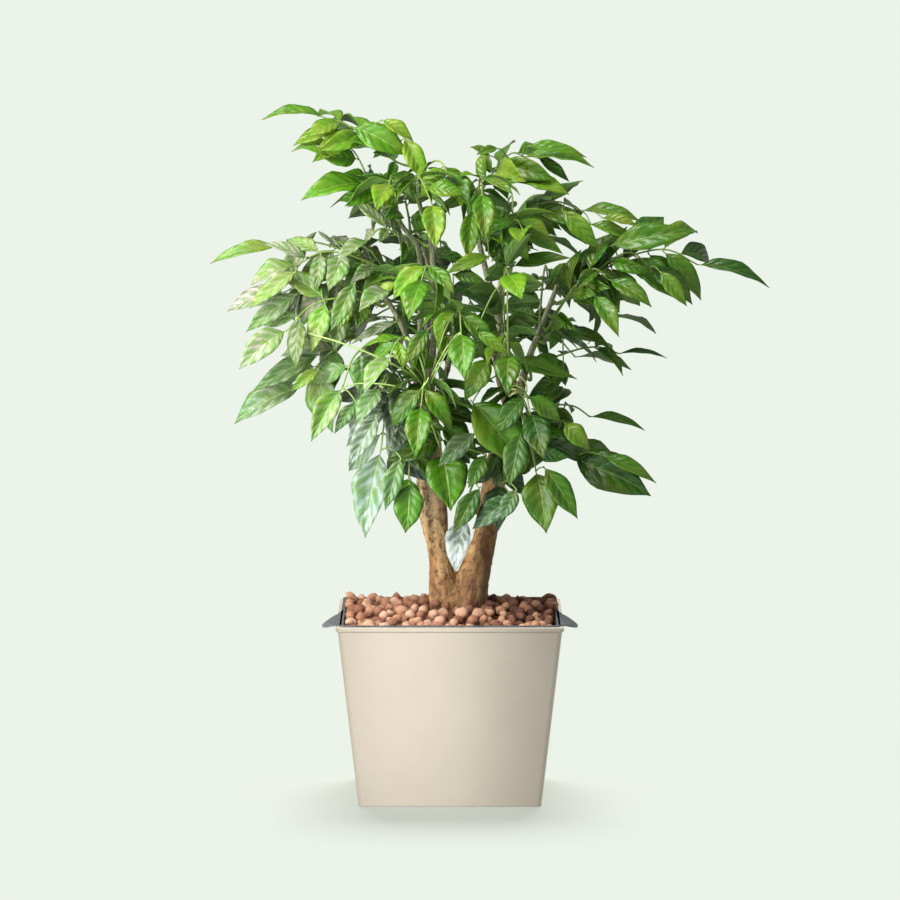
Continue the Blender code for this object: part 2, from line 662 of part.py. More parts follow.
def along_stalk(places, up, distance):
    """The place, the direction and the upper side at a distance along a stalk, evened out at its bends."""
    frames = stalk_frames(places, up)
    for index, (start, end) in enumerate(zip(places, places[1:])):
        span = (end - start).length
        if distance <= span or index == len(frames) - 1:
            break
        distance -= span
    forward, upward = frames[index]
    if distance > span - 0.5 and index + 1 < len(frames):
        forward, upward = leaf_frame(forward + frames[index + 1][0], upward + frames[index + 1][1])
    return start.lerp(end, min(1, distance / span)), forward, upward


def stalk_of(frond, shift, out, root, end, reach):
    """Points of a frond's stalk, square off its limb and arched over to its end leaflet."""
    span = (end - root).length
    side = (end - root).cross(UP).normalized()
    moved = side * shift[0] + UP * (frond.arch + shift[1])
    first = root + out * (span * 0.3) + moved * 0.6
    second = end - reach * (span * 0.35) + moved
    places = bezier(root, first, second, end, 6)
    return [root, root + out * ROOT_REACH] + places[1:]


def ring_distances(placed):
    """Where the stalk's rings stand: at its ends and bends, and on both sides of each pair of leaflets."""
    total = stalk_length(placed.stalk)
    pairs = sorted({leaflet.distance for leaflet in placed.leaflets if leaflet.way})
    rings = [0.0, total]
    for distance in pairs:
        rings += [distance - LEAF_STALK, distance + LEAF_STALK]
    bend = 0.0
    for start, end in zip(placed.stalk[:-1], placed.stalk[1:-1]):
        bend += (end - start).length
        if all(abs(bend - ring) > 3 * LEAF_STALK for ring in rings[1:]):
            rings.append(bend)
    return sorted(rings)


def stalk_rings(placed, distances):
    """Square rings along the stalk."""
    rings = []
    for distance in distances:
        place, forward, upward = along_stalk(placed.stalk, placed.up, distance)
        side = forward.cross(upward)
        half = STALK_ROOT + (STALK_TIP - STALK_ROOT) * distance / distances[-1]
        corners = ((-1, 1), (1, 1), (1, -1), (-1, -1))
        rings.append([place + (side * across + upward * above) * half for across, above in corners])
    return rings


def skin(placed):
    """A compound leaf in one skin: a square stalk with its leaflets drawn out of its sides and its end. Gives
    the vertices, the triangles and, for each triangle, the number of its leaflet, or -1 on the stalk."""
    distances = ring_distances(placed)
    rings = stalk_rings(placed, distances)
    verts = [place for ring in rings for place in ring]
    triangles, owners, taken = [], [], set()
    for number, leaflet in enumerate(placed.leaflets):
        if leaflet.way:
            foot = leaflet.distance - LEAF_STALK
            inner = min(range(len(distances)), key=lambda ring: abs(distances[ring] - foot))
            taken.add((inner, leaflet.way))
            low, high = 4 * inner, 4 * inner + 4
            if leaflet.way > 0:
                feet = [high + 1, low + 1, high + 2, low + 2]
            else:
                feet = [low, high, low + 3, high + 3]
        else:
            last = 4 * (len(rings) - 1)
            feet = [last, last + 1, last + 3, last + 2]
        places, faces = blade(leaflet, leaflet_rows(leaflet), BLADE, [verts[foot] for foot in feet])
        under = (len(places) - 1) // 2
        own = dict(zip((0, 1, under, under + 1), feet))
        for index, place in enumerate(places):
            if index not in own:
                own[index] = len(verts)
                verts.append(place)
        for face in faces:
            triangles += split_face([own[index] for index in face])
        owners += [number] * (len(triangles) - len(owners))
    for ring in range(len(rings) - 1):
        for corner, way in enumerate((0, 1, 0, -1)):
            if (ring, way) not in taken:
                first, beside = 4 * ring + corner, 4 * ring + (corner + 1) % 4
                triangles += split_face([first, beside, beside + 4, first + 4])
    triangles += split_face([0, 1, 2, 3])
    owners += [-1] * (len(triangles) - len(owners))
    return verts, triangles, owners


def split_face(corners):
    """A face of three or four corners as triangles."""
    if len(corners) == 3:
        return [tuple(corners)]
    return [tuple(corners[:3]), (corners[0], corners[2], corners[3])]


def crossings(placed):
    """The numbers of the leaflets whose skin crosses the frond's own, and -1 if the stalk crosses itself."""
    verts, triangles, owners = skin(placed)
    tree = BVHTree.FromPolygons(verts, triangles)
    pairs = [(a, b) for a, b in tree.overlap(tree) if not set(triangles[a]) & set(triangles[b])]
    return {max(owners[a], owners[b]) for a, b in pairs}


def without_crossings(placed):
    """The frond less the leaflets whose skin crosses its own, or None where the stalk or end leaflet does."""
    while crossed := crossings(placed):
        dropped = max(crossed)
        if dropped < 1:
            return None
        kept = [leaflet for number, leaflet in enumerate(placed.leaflets) if number != dropped]
        placed = placed._replace(leaflets=kept)
    return placed


def seat_leaflet(leaflet, clearance, windows, own_blades, bare):
    """The leaflet bent clear of what stands already and of its own frond, or None where nothing fits. bare is
    the frond without its pairs."""
    for shrink in SHRINKS:
        for yaw, pitch in TURNS:
            heading, normal = turned(leaflet.heading, leaflet.normal, yaw, pitch)
            tried = leaflet._replace(
                heading=heading, normal=normal, length=leaflet.length * shrink, width=leaflet.width * shrink
            )
            whole = test_blade(tried, BLADE + 2 * CLEAR)
            if not (clearance.free(*whole) and windows.free(*whole)):
                continue
            if not own_blades.free(*test_blade(tried, BLADE + 2 * CLEAR, leaflet_rows(tried), OWN_START)):
                continue
            if not crossings(bare._replace(leaflets=bare.leaflets + [tried])):
                return tried
    return None


def pair_leaflets(frond, places, up, rng):
    """The frond's leaflets in pairs along its stalk, before they are bent clear."""
    leaflets = []
    length = stalk_length(places)
    for pair in range(frond.pairs):
        share = FIRST_PAIR + (LAST_PAIR - FIRST_PAIR) * (pair + 0.5) / frond.pairs + rng.uniform(-0.02, 0.02)
        centre, forward, upward = along_stalk(places, up, share * length)
        for way in (-1, 1):
            side = forward.cross(upward) * way
            angle = math.radians(SIDE_ANGLE + rng.uniform(-10, 10))
            aim = forward * math.cos(angle) + side * math.sin(angle) - UP * (HANG + rng.uniform(-0.14, 0.14))
            heading, normal = leaf_frame(aim, upward + side * rng.uniform(-0.1, 0.3))
            size = frond.leaf * rng.uniform(0.82, 1.02) * (0.86 + 0.14 * math.sin(math.pi * share))
            width = size * WIDTH_SHARE * rng.uniform(0.92, 1.1)
            bend = math.radians(BEND) * rng.uniform(0.6, 1.3)
            fold = math.radians(FOLD) * rng.uniform(0.6, 1.4)
            twist = math.radians(rng.uniform(-18, 18))
            base = centre + side * STALK_TIP
            distance = share * length
            leaflets.append(Leaflet(base, heading, normal, size, width, bend, fold, twist, distance, way))
    return leaflets


def place_frond(frond, seed, clearance, windows, wood):
    """Works out one frond: its stalk, then its end leaflet and its pairs, each bent clear of the rest."""
    rng = random.Random(seed)
    centre, along, thick = limb_point(WHOLE_LIMBS[frond.limb], frond.at)
    tip = Vector(frond.tip)
    towards = tip - centre
    out = (towards - along * towards.dot(along)).normalized()
    bark = wood.ray_cast(centre + out * (thick + SEARCH), -out)[0]
    root = (bark or centre + out * thick) + out * SEAT
    level = Vector((towards.x, towards.y, 0)).normalized()
    slope = math.radians(frond.slope)
    reach = level * math.cos(slope) - UP * math.sin(slope)
    face = math.radians(frond.face)
    outward = (FRONT + level * 0.35).normalized() if tip.y < 30 else level
    up = UP * math.cos(face) + outward * math.sin(face)
    heading, normal = leaf_frame(reach, up)
    bend = math.radians(BEND) * rng.uniform(0.8, 1.15)
    heading, normal = turned(heading, normal, 0, math.degrees(bend) / 2)
    end_length = frond.leaf * 1.08
    end = tip - reach * end_length * math.sin(bend / 2) / (bend / 2)
    width = end_length * WIDTH_SHARE
    twist = math.radians(rng.uniform(-14, 14))
    last = Leaflet(end, heading, normal, end_length, width, bend, math.radians(FOLD), twist, 0, 0)
    for shift in STALK_SHIFTS:
        places = stalk_of(frond, shift, out, root, end, reach)
        bare = Placed(frond.name, places, up, [])
        stalk_clear = clearance.free(*prism(places[1:], [STALK_ROOT + CLEAR] * (len(places) - 1), 6))
        if stalk_clear and not crossings(bare._replace(leaflets=[last])):
            break
    else:
        return None
    own_blades = Clearance()
    last = seat_leaflet(last, clearance, windows, own_blades, bare)
    if last is None:
        return None
    bare.leaflets.append(last)
    seated = [last]
    for leaflet in pair_leaflets(frond, places, up, rng):
        leaflet = seat_leaflet(leaflet, clearance, windows, own_blades, bare)
        if leaflet:
            seated.append(leaflet)
            own_blades.add(*test_blade(leaflet, BLADE, leaflet_rows(leaflet), OWN_START))
    placed = without_crossings(bare._replace(leaflets=seated))
    if placed is None:
        return None
    clearance.add(*prism(places, [STALK_ROOT * 1.2] * len(places), 6))
    for leaflet in placed.leaflets:
        clearance.add(*test_blade(leaflet, BLADE))
    return placed


def back_fronds():
    """The fronds of the crown's far side."""
    rng = random.Random(BACK_SEED)
    rows = []
    for index in range(BACK_FRONDS):
        turn = (index * GOLDEN_TURN + 0.2) % 1
        angle = math.radians(BACK_FROM + (BACK_TO - BACK_FROM) * turn)
        rise = index / (BACK_FRONDS - 1)
        height = BACK_LOW + (BACK_HIGH - BACK_LOW) * rise
        reach = BACK_REACH * (1 - 0.35 * rise) * rng.uniform(0.86, 1.08)
        limb = BACK_LIMBS[index % len(BACK_LIMBS)]
        at = 0.3 + 0.68 * rise
        tip = (10 + reach * math.cos(angle), 30 + reach * math.sin(angle), height)
        slope = 42 - 26 * rise
        rows.append(Frond(f"back_{index + 1:02d}", limb, at, tip, slope, 34, 3, rng.uniform(52, 62), 26))
    return rows


def crown():
    """Every frond of the plant, worked out one after another."""
    clearance = Clearance()
    for limb in [STUMP, SIDE_STEM, CUT_STUB, *WHOLE_LIMBS.values()]:
        clearance.add(*prism([Vector(row[:3]) for row in limb], [row[3] for row in limb], 12))
    wood = BVHTree.FromPolygons(clearance.verts, clearance.faces)
    mouth = POT_RIM / 2 + LIP_REACH
    clearance.add(*prism([Vector((0, 0, 0)), Vector((0, 0, POT_HEIGHT + MOUTH_CLEAR))], [mouth * 1.3] * 2, 8))
    windows = Clearance()
    for x, z, radius in SIGHT_GAPS:
        near, far = Vector((x, -SIGHT_DEPTH, z + SIGHT_RISE)), Vector((x, SIGHT_DEPTH, z - SIGHT_RISE))
        windows.add(*prism([near, far], [radius] * 2, 6))
    placed = []
    for seed, frond in enumerate(FRONDS + back_fronds()):
        for shift in LIMB_SHIFTS:
            at = min(1.0, max(0.1, frond.at + shift))
            made = place_frond(frond._replace(at=at), seed, clearance, windows, wood)
            if made:
                placed.append(made)
                break
    return placed


def leaf_tone(placed):
    """Dark for the shaded fronds behind and low on the right, light for those at the top and the front."""
    tip = blade_point(placed.leaflets[0], 1.0, 0)
    if tip.y > SHADE_BEHIND or (tip.x > SHADE_RIGHT and tip.z < SHADE_BELOW):
        return "leaf_dark"
    if tip.z > LIGHT_ABOVE or tip.y < LIGHT_BEFORE:
        return "leaf_light"
    return "leaf_mid"


def make_frond(placed, finish, collection):
    verts, triangles, _ = skin(placed)
    bm = bmesh.new()
    corners = [bm.verts.new(place) for place in verts]
    for triangle in triangles:
        bm.faces.new([corners[index] for index in triangle])
    bmesh.ops.recalc_face_normals(bm, faces=bm.faces)
    name = "frond_" + placed.name
    return add_object(name, mesh_of(bm, name), collection, finish)


def main():
    for obj in list(bpy.data.objects):
        bpy.data.objects.remove(obj)
    parts = new_collection("potted_china_doll_plant")
    guides = new_collection("cutters")
    make_pot(parts)
    make_liner(parts, guides)
    make_soil(parts, guides)
    make_clay_pebbles(parts, guides)
    make_trunk(parts)
    finishes = {name: material(name, colour, 0.35) for name, colour in LEAF_TONES.items()}
    for placed in crown():
        make_frond(placed, finishes[leaf_tone(placed)], parts)


main()
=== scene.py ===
"""The looks of the potted china doll plant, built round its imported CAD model.

The crown is worked out here again as the part's source does it, so each fine frond stands where its CAD node
does, and more leaflets are then fitted between them. Tables are in millimetres and degrees, and meshes in
metres, with +Z up and -Y to the front."""

import math
import random
from collections import defaultdict, namedtuple

import bmesh
import bpy
from mathutils import Matrix, Vector, noise
from mathutils.bvhtree import BVHTree


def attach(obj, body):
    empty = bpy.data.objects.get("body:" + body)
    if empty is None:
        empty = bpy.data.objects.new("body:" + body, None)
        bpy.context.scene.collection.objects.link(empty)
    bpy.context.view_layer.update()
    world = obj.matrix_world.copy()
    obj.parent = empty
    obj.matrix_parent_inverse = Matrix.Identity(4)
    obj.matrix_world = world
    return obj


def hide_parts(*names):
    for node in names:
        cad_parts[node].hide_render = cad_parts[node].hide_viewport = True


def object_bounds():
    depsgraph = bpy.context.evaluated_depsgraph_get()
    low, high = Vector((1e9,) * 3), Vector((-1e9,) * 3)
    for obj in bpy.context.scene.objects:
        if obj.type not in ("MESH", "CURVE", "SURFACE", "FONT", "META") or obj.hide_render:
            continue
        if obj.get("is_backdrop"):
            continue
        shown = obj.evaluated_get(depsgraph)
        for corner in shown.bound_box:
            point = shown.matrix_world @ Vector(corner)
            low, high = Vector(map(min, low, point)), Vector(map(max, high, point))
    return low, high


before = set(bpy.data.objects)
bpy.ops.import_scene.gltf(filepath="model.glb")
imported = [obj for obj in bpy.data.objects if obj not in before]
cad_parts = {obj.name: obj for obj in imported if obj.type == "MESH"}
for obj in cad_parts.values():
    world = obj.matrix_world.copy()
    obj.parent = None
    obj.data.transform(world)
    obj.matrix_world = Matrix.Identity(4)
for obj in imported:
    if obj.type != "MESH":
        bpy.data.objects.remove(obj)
CAD_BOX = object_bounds()

MM = 0.001
GAP = 0.3
UP = Vector((0, 0, 1))
FRONT = Vector((0, -1, 0))

# Planter
POT_HEIGHT = 182
POT_BASE = 181
POT_BODY_TOP = 221
POT_RIM = 225
POT_LIP_HEIGHT = 4.5
POT_WALL = 4.5
POT_LIP_WALL = 5
POT_FLOOR = 7
POT_CORNER = 5
POT_MOUTH = POT_RIM - 2 * POT_LIP_WALL
POT_INNER_BASE = POT_BASE - 2 * POT_WALL

# Nursery liner
LINER_WALL = 1.2
LINER_FLOOR = POT_FLOOR + GAP
LINER_PLAY = 0.8
LINER_FLANGE = 218
LIP_FRONT = -102
LIP_LENGTHS = (116, 76, 76, 76)
LIP_REACH = 13
LIP_DROP = 5.5
LIP_END = 0.8
LIP_OVERLAP = 2
LIP_OFF_RIM = 0.6
LIP_CURVE = (0.62, 0.3)

# Soil and the bed of clay pebbles
SOIL_TOP = 163
SOIL_HOLE = 29.5
SOIL_HOLE_DEPTH = 22.5

# Trunk: each limb is a list of centre points and radii, x, y, z, radius. The stump is less deep than wide.
STUMP = [(8, 0, 131, 21), (8, 0, 160, 25), (8, 0, 186, 27), (8, 0, 203, 22), (8, 0, 213, 11)]
STUMP_DEPTH = 0.74
LEFT_LEADER = [
    (-4, 0, 188, 17), (-7, 0, 214, 14.5), (-10, 0, 236, 11.5), (-13, 0, 264, 11.5), (-16, 0, 292, 12.5),
    (-20, 0, 332, 12.5), (-23, 0, 366, 12), (-24, 0, 392, 11.5),
]
RIGHT_LEADER = [
    (20, 0, 188, 18), (22, 0, 212, 17.5), (28, 0, 234, 14.5), (35, 0, 258, 12), (40, 0, 286, 12),
    (45, 0, 324, 11.5), (52, 0, 348, 10.5), (60, 0, 369, 8.5), (66, 0, 386, 7.5),
]
SIDE_STEM = [
    (-13, -5, 238, 5), (-23, -6, 276, 7), (-27, -5, 330, 7.5), (-30, -4, 378, 6.5), (-31, -3, 404, 6),
]
CUT_STUB = [(38, -3, 282, 5), (25, -8, 287, 4.6), (18, -10, 290, 4.2)]
SHOOTS = {
    "left_tall": [
        (-31, -3, 396, 4.8), (-29, 2, 450, 3.8), (-30, 5, 500, 3.4), (-31, 8, 545, 3.1), (-49, 9, 572, 2.6),
        (-65, 8, 605, 2.1),
    ],
    "middle_tall": [
        (-20, 4, 384, 4.8), (-18, 7, 430, 3.9), (-16, 7, 480, 3.5), (-19, 6, 558, 3), (-30, 6, 590, 2.5),
        (-32, 5, 630, 2),
    ],
    "middle_front": [(-20, -6, 384, 4.2), (-8, -14, 412, 3.5), (0, -20, 442, 3), (3, -24, 472, 2.5)],
    "left_out": [(-28, -4, 388, 5), (-36, -6, 430, 3.9), (-47, -7, 470, 3.2), (-66, -8, 502, 2.5)],
    "right_tall": [
        (65, 0, 380, 5.6), (60, 4, 430, 4.2), (45, 8, 490, 3.6), (28, 10, 560, 2.8), (25, 8, 606, 2.1),
    ],
    "right_out": [(65, 0, 378, 5.6), (76, -3, 430, 3.9), (95, -6, 480, 3.1), (107, -6, 512, 2.5)],
    "right_front": [(62, -3, 374, 4.6), (50, -26, 414, 3.5), (42, -42, 456, 2.6)],
    "back_left": [(-20, 6, 382, 4.6), (-24, 30, 446, 3.5), (-20, 55, 515, 2.7), (-34, 72, 565, 2.1)],
    "back_right": [(63, 4, 374, 5), (54, 35, 440, 3.7), (50, 64, 500, 2.9), (62, 82, 555, 2.1)],
}
WHOLE_LIMBS = dict(SHOOTS, left_leader=LEFT_LEADER, right_leader=RIGHT_LEADER)

# Fronds. A frond leaves its limb at a share of its length and ends with the tip of its end leaflet. slope is
# how far that leaflet points down, face how far the leaflets turn from facing up to facing the front, and arch
# how far the stalk rises above the straight line.
Frond = namedtuple("Frond", "name limb at tip slope face pairs leaf arch")
FRONDS = [Frond(*row) for row in (
    ("top_left_high", "middle_tall", 1.0, (-187, -8, 676), 2, 26, 3, 60, -3),
    ("top_left_low", "left_tall", 0.93, (-158, 4, 644), 6, 30, 1, 44, 8),
    ("left_upper", "left_tall", 1.0, (-148, -22, 597), 12, 50, 2, 66, 16),
    ("top_right", "right_tall", 1.0, (143, -10, 629), 8, 36, 3, 66, 15),
    ("top_right_low", "right_tall", 0.94, (116, -30, 606), 10, 36, 1, 52, 8),
    ("right_upper", "right_tall", 0.8, (190, -14, 575), 10, 38, 3, 58, 20),
    ("right_far", "right_out", 1.0, (318, -10, 509), 18, 44, 4, 72, 28),
    ("right_far_low", "right_out", 0.88, (240, -44, 495), 40, 46, 2, 54, 22),
    ("right_second", "right_out", 0.78, (199, -64, 494), 28, 46, 3, 52, 22),
    ("right_second_low", "right_out", 0.68, (166, -82, 466), 48, 50, 2, 50, 22),
    ("right_middle", "right_out", 0.58, (160, -24, 449), 14, 38, 2, 48, 12),
    ("right_thin", "right_out", 0.42, (217, 12, 437), 6, 22, 1, 46, 16),
    ("right_inner", "right_out", 0.3, (126, -46, 426), 22, 36, 2, 48, 12),
    ("right_low_small", "right_leader", 0.99, (195, -6, 366), 14, 36, 2, 54, 18),
    ("right_low_big", "right_leader", 0.93, (200, -40, 304), 24, 72, 2, 84, 24),
    ("right_hanging", "right_leader", 0.9, (95, -86, 272), 66, 56, 2, 62, 26),
    ("left_hanging", "left_out", 0.12, (-84, -56, 264), 76, 60, 2, 84, 34),
    ("left_hanging_small", "left_leader", 0.96, (-46, -84, 284), 64, 58, 1, 44, 16),
    ("left_middle_low", "left_leader", 0.98, (-92, -84, 378), 44, 52, 2, 48, 22),
    ("left_far", "left_tall", 0.56, (-239, -10, 533), 14, 56, 2, 68, 8),
    ("left_far_low", "left_tall", 0.52, (-197, -44, 514), 22, 36, 2, 48, 20),
    ("left_curled", "left_tall", 0.72, (-112, -58, 536), 28, 46, 2, 44, 18),
    ("left_middle_high", "left_out", 1.0, (-221, -26, 487), 18, 50, 3, 58, 22),
    ("left_middle", "left_out", 0.93, (-208, -72, 433), 36, 54, 3, 60, 28),
    ("left_low", "left_out", 0.6, (-214, -42, 376), 28, 56, 2, 74, 34),
    ("left_low_inner", "left_out", 0.34, (-137, -78, 362), 54, 56, 2, 60, 32),
    ("left_inner_narrow", "left_tall", 0.42, (-132, 62, 462), 8, 30, 1, 52, 14),
    ("left_inner_high", "middle_tall", 0.42, (-84, -92, 484), 30, 46, 3, 48, 18),
    ("left_inner_low", "middle_front", 0.5, (-84, -118, 412), 42, 50, 3, 50, 24),
    ("centre_low", "left_leader", 0.97, (1, -84, 294), 58, 58, 2, 60, 28),
    ("front_low", "right_leader", 0.76, (48, -72, 273), 58, 54, 1, 48, 20),
    ("crotch", "right_leader", 0.66, (5, -37, 227), 76, 60, 0, 54, 14),
    ("centre_dark", "right_front", 1.0, (70, -150, 508), 22, 42, 3, 52, 22),
    ("crown_front", "middle_tall", 0.97, (18, -92, 594), 34, 44, 3, 50, 14),
    ("crown_down", "middle_tall", 0.82, (-14, -128, 556), 52, 50, 3, 50, 20),
    ("crown_right", "right_tall", 0.92, (34, -104, 562), 54, 50, 2, 52, 18),
    ("crown_left", "left_tall", 0.84, (-72, -84, 590), 26, 42, 2, 52, 14),
    ("middle_right_high", "right_tall", 0.62, (92, -112, 542), 30, 44, 3, 52, 20),
    ("middle_left_front", "middle_front", 0.96, (-40, -160, 488), 42, 48, 3, 52, 22),
    ("middle_front", "middle_front", 0.82, (14, -168, 432), 50, 50, 3, 52, 26),
    ("middle_right_front", "right_front", 0.8, (62, -160, 412), 48, 50, 3, 52, 26),
    ("middle_low_front", "middle_front", 0.2, (-34, -138, 352), 54, 52, 2, 56, 24),
    ("right_low_front", "right_front", 0.36, (92, -118, 348), 50, 52, 2, 54, 26),
)]

# The back of the crown: fronds placed by a rule that turns by the golden angle and climbs from limb to limb
BACK_LIMBS = ["back_left", "back_right", "left_tall", "back_right", "back_left", "right_out", "middle_tall"]
BACK_FRONDS = 12
BACK_SEED = 33
GOLDEN_TURN = 0.618
BACK_START = 0.2
BACK_FROM, BACK_TO = 12, 168
BACK_LOW, BACK_HIGH = 385, 585
BACK_AT_LOW, BACK_AT_RISE = 0.3, 0.68
BACK_MIDDLE = (10, 30)
BACK_REACH = 215
BACK_NARROWING = 0.35
BACK_REACHES = (0.86, 1.08)
BACK_SLOPE_LOW, BACK_SLOPE_RISE = 42, 26
BACK_FACE = 34
BACK_PAIRS = 3
BACK_LEAF = (52, 62)
BACK_ARCH = 26

# Leaflets
BLADE = 0.8
STALK_ROOT = 1.3
STALK_TIP = 0.8
LEAF_STALK = 1.1
RINGS_APART = 3 * LEAF_STALK
EVENED_AT_BEND = 0.5
WIDTH_SHARE = 0.52
GROWTH_A, GROWTH_B = 0.9, 1.35
BARE = 0.07
BEND = 42
FOLD = 17
SIDE_ANGLE = 54
HANG = 0.14
FIRST_PAIR, LAST_PAIR = 0.5, 0.9
# How much the leaflets of a frond vary
PAIR_SHIFT = 0.02
SIDE_TURN = 10
LEANS = (-0.1, 0.3)
SIZES = (0.82, 1.02)
SIZE_AT_ENDS, SIZE_AT_MIDDLE = 0.86, 0.14
WIDTHS = (0.92, 1.1)
BENDS = (0.6, 1.3)
FOLDS = (0.6, 1.4)
TWIST = 18
# The end leaflet, and the points of the stalk to it
END_SIZE = 1.08
END_BENDS = (0.8, 1.15)
END_TWIST = 14
FACE_OUT = 0.35
FRONT_TIPS = 30
STALK_OUT = 0.3
STALK_LIFT = 0.6
STALK_BEFORE_END = 0.35
STALK_POINTS = 6
# Rows of points along a blade, as shares of its length
ROWS_LONG = (0.16, 0.44, 0.76)
ROWS_SHORT = (0.3, 0.7)
ROWS_TEST = (0.16, 0.3, 0.5, 0.75)
OWN_START = 0.06
LONG_LEAFLET = 64
# What is tried in turn until a leaflet is clear: degrees about its own normal and of lift, at each size
TURNS = [
    (0, 0), (8, -8), (-8, 8), (0, -16), (0, 16), (16, 0), (-16, 0), (14, -18), (-14, 18), (24, -26),
    (-24, 26), (0, -30), (0, 30), (32, 0), (-32, 0), (20, 30), (-20, 30), (30, -34), (-30, -34),
]
SHRINKS = (1.0, 0.82, 0.66)
STALK_SHIFTS = [(0, 0), (0, 10), (10, 0), (-10, 0), (0, 20), (18, 8), (-18, 8), (0, -12), (26, 16), (-26, 16)]
LIMB_SHIFTS = (0, -0.06, 0.06, -0.12, -0.2)
# How far pieces keep clear of each other and of the planter's mouth, and the plain shapes that test it
CLEAR = 0.5
STALK_ROOM = 1.2
STALK_TEST_SIDES = 6
LIMB_TEST_SIDES = 12
MOUTH_CLEAR = 14
MOUTH_CORNERS = 1.3
MOUTH_SIDES = 8
# Where a stalk starts on its limb
LOWEST_AT = 0.1
SHORT_OF_END = 0.9999
SEAT = 0.6
ROOT_REACH = 4.5
SEARCH = 9
# Round windows through the crown that the leaflets leave open: x, z and radius
SIGHT_GAPS = [
    (-63, 487, 7), (-80, 465, 8), (-100, 441, 8), (-38, 454, 8), (77, 534, 8), (90, 552, 6), (6, 560, 9),
    (-85, 641, 7), (-70, 631, 6), (-10, 640, 12), (15, 635, 10), (-28, 643, 8), (70, 607, 4), (125, 599, 6),
    (-118, 575, 12), (-148, 569, 8), (-90, 572, 9), (-166, 574, 7), (-43, 587, 7), (-60, 548, 7),
    (110, 493, 8), (132, 484, 6), (80, 448, 6), (113, 445, 9), (134, 434, 7), (133, 416, 7), (68, 408, 6),
    (127, 397, 7), (102, 326, 8), (-110, 352, 7), (131, 380, 7), (-172, 596, 8), (184, 466, 8), (50, 656, 5),
]
SIGHT_DEPTH = 230
SIGHT_RISE = 23
WINDOW_SIDES = 6
# From where on a frond has the dark slot, and from where the light one
SHADE_BEHIND, SHADE_RIGHT, SHADE_BELOW = 60, 80, 450
LIGHT_ABOVE, LIGHT_BEFORE = 540, -110

Leaflet = namedtuple("Leaflet", "base heading normal length width bend fold twist distance way")
Placed = namedtuple("Placed", "name stalk up leaflets")


def prism(points, radii, sides):
    """Vertices and faces of a round stem, for the clearance test."""
    verts, faces = [], []
    for index, (point, radius) in enumerate(zip(points, radii)):
        ahead = points[min(index + 1, len(points) - 1)] - points[max(index - 1, 0)]
        turn = ahead.to_track_quat("Z", "Y")
        for side in range(sides):
            angle = 2 * math.pi * side / sides
            verts.append(point + turn @ Vector((radius * math.cos(angle), radius * math.sin(angle), 0)))
    for ring in range(len(points) - 1):
        for side in range(sides):
            after = (side + 1) % sides
            low, high = ring * sides, (ring + 1) * sides
            faces.append((low + side, low + after, high + after, high + side))
    faces.append(tuple(range(sides)))
    faces.append(tuple(range((len(points) - 1) * sides, len(points) * sides)))
    return verts, faces


def half_width(leaflet, along):
    """An egg-shaped leaf that stands off on a short bare stalk and narrows to a long drip tip."""
    widest = GROWTH_A / (GROWTH_A + GROWTH_B)
    peak = widest**GROWTH_A * (1 - widest) ** GROWTH_B
    grown = max(0, (along - BARE) / (1 - BARE))
    return leaflet.width / 2 * grown**GROWTH_A * (1 - grown) ** GROWTH_B / peak


def bent_place(leaflet, along, reach, lift=0.0):
    """The place on a leaflet at a share of its length and a reach beside its rib, bent, folded and twisted."""
    side = leaflet.heading.cross(leaflet.normal)
    bent = leaflet.bend * along
    centre = leaflet.base + leaflet.length * (
        leaflet.heading * math.sin(bent) - leaflet.normal * (1 - math.cos(bent))
    ) / leaflet.bend
    normal = leaflet.normal * math.cos(bent) + leaflet.heading * math.sin(bent)
    rolled = leaflet.twist * along
    out = side * math.cos(rolled) + normal * math.sin(rolled)
    normal = normal * math.cos(rolled) - side * math.sin(rolled)
    folded = out * (reach * math.cos(leaflet.fold)) + normal * (abs(reach) * math.sin(leaflet.fold))
    return centre + folded + normal * lift


def blade_point(leaflet, along, across, lift=0.0):
    """The place on a leaflet at shares of its length and half width."""
    return bent_place(leaflet, along, across * half_width(leaflet, along), lift)


def blade_feet(leaflet, start, thickness):
    """The four corners where a blade begins: left and right on top, then left and right below."""
    side = leaflet.heading.cross(leaflet.normal) * LEAF_STALK
    foot = blade_point(leaflet, start, 0)
    lift = leaflet.normal * (thickness / 2)
    return [foot - side + lift, foot + side + lift, foot - side - lift, foot + side - lift]


def blade(leaflet, rows, thickness, feet):
    """Vertices and faces of one leaflet from its feet to its tip: a thin folded sheet, split alike on both
    faces. The face that closes it at its feet is left out."""
    half = thickness / 2
    verts = []
    for lift, pair in ((half, feet[:2]), (-half, feet[2:])):
        verts += pair
        for along in rows:
            verts += [blade_point(leaflet, along, across, lift) for across in (-1, 0, 1)]
    tip = len(verts)
    verts.append(blade_point(leaflet, 1.0, 0))
    under = 2 + 3 * len(rows)
    last = 2 + 3 * (len(rows) - 1)
    top = [(0, 3, 2), (0, 1, 3), (1, 4, 3)]
    for row in range(len(rows) - 1):
        first = 2 + 3 * row
        for step in (0, 1):
            a, b, c, d = first + step, first + step + 1, first + step + 4, first + step + 3
            top += [(a, b, c), (a, c, d)] if step else [(a, b, d), (b, c, d)]
    top += [(last, last + 1, tip), (last + 1, last + 2, tip)]
    below = [tuple(index if index == tip else index + under for index in reversed(face)) for face in top]
    left = [0] + [2 + 3 * row for row in range(len(rows))]
    right = [1] + [4 + 3 * row for row in range(len(rows))]
    rim = [(b, b + under, a + under, a) for a, b in zip(left, left[1:])]
    rim += [(a, a + under, b + under, b) for a, b in zip(right, right[1:])]
    rim += [(tip, last + under, last), (last + 2, last + 2 + under, tip)]
    return verts, top + below + rim


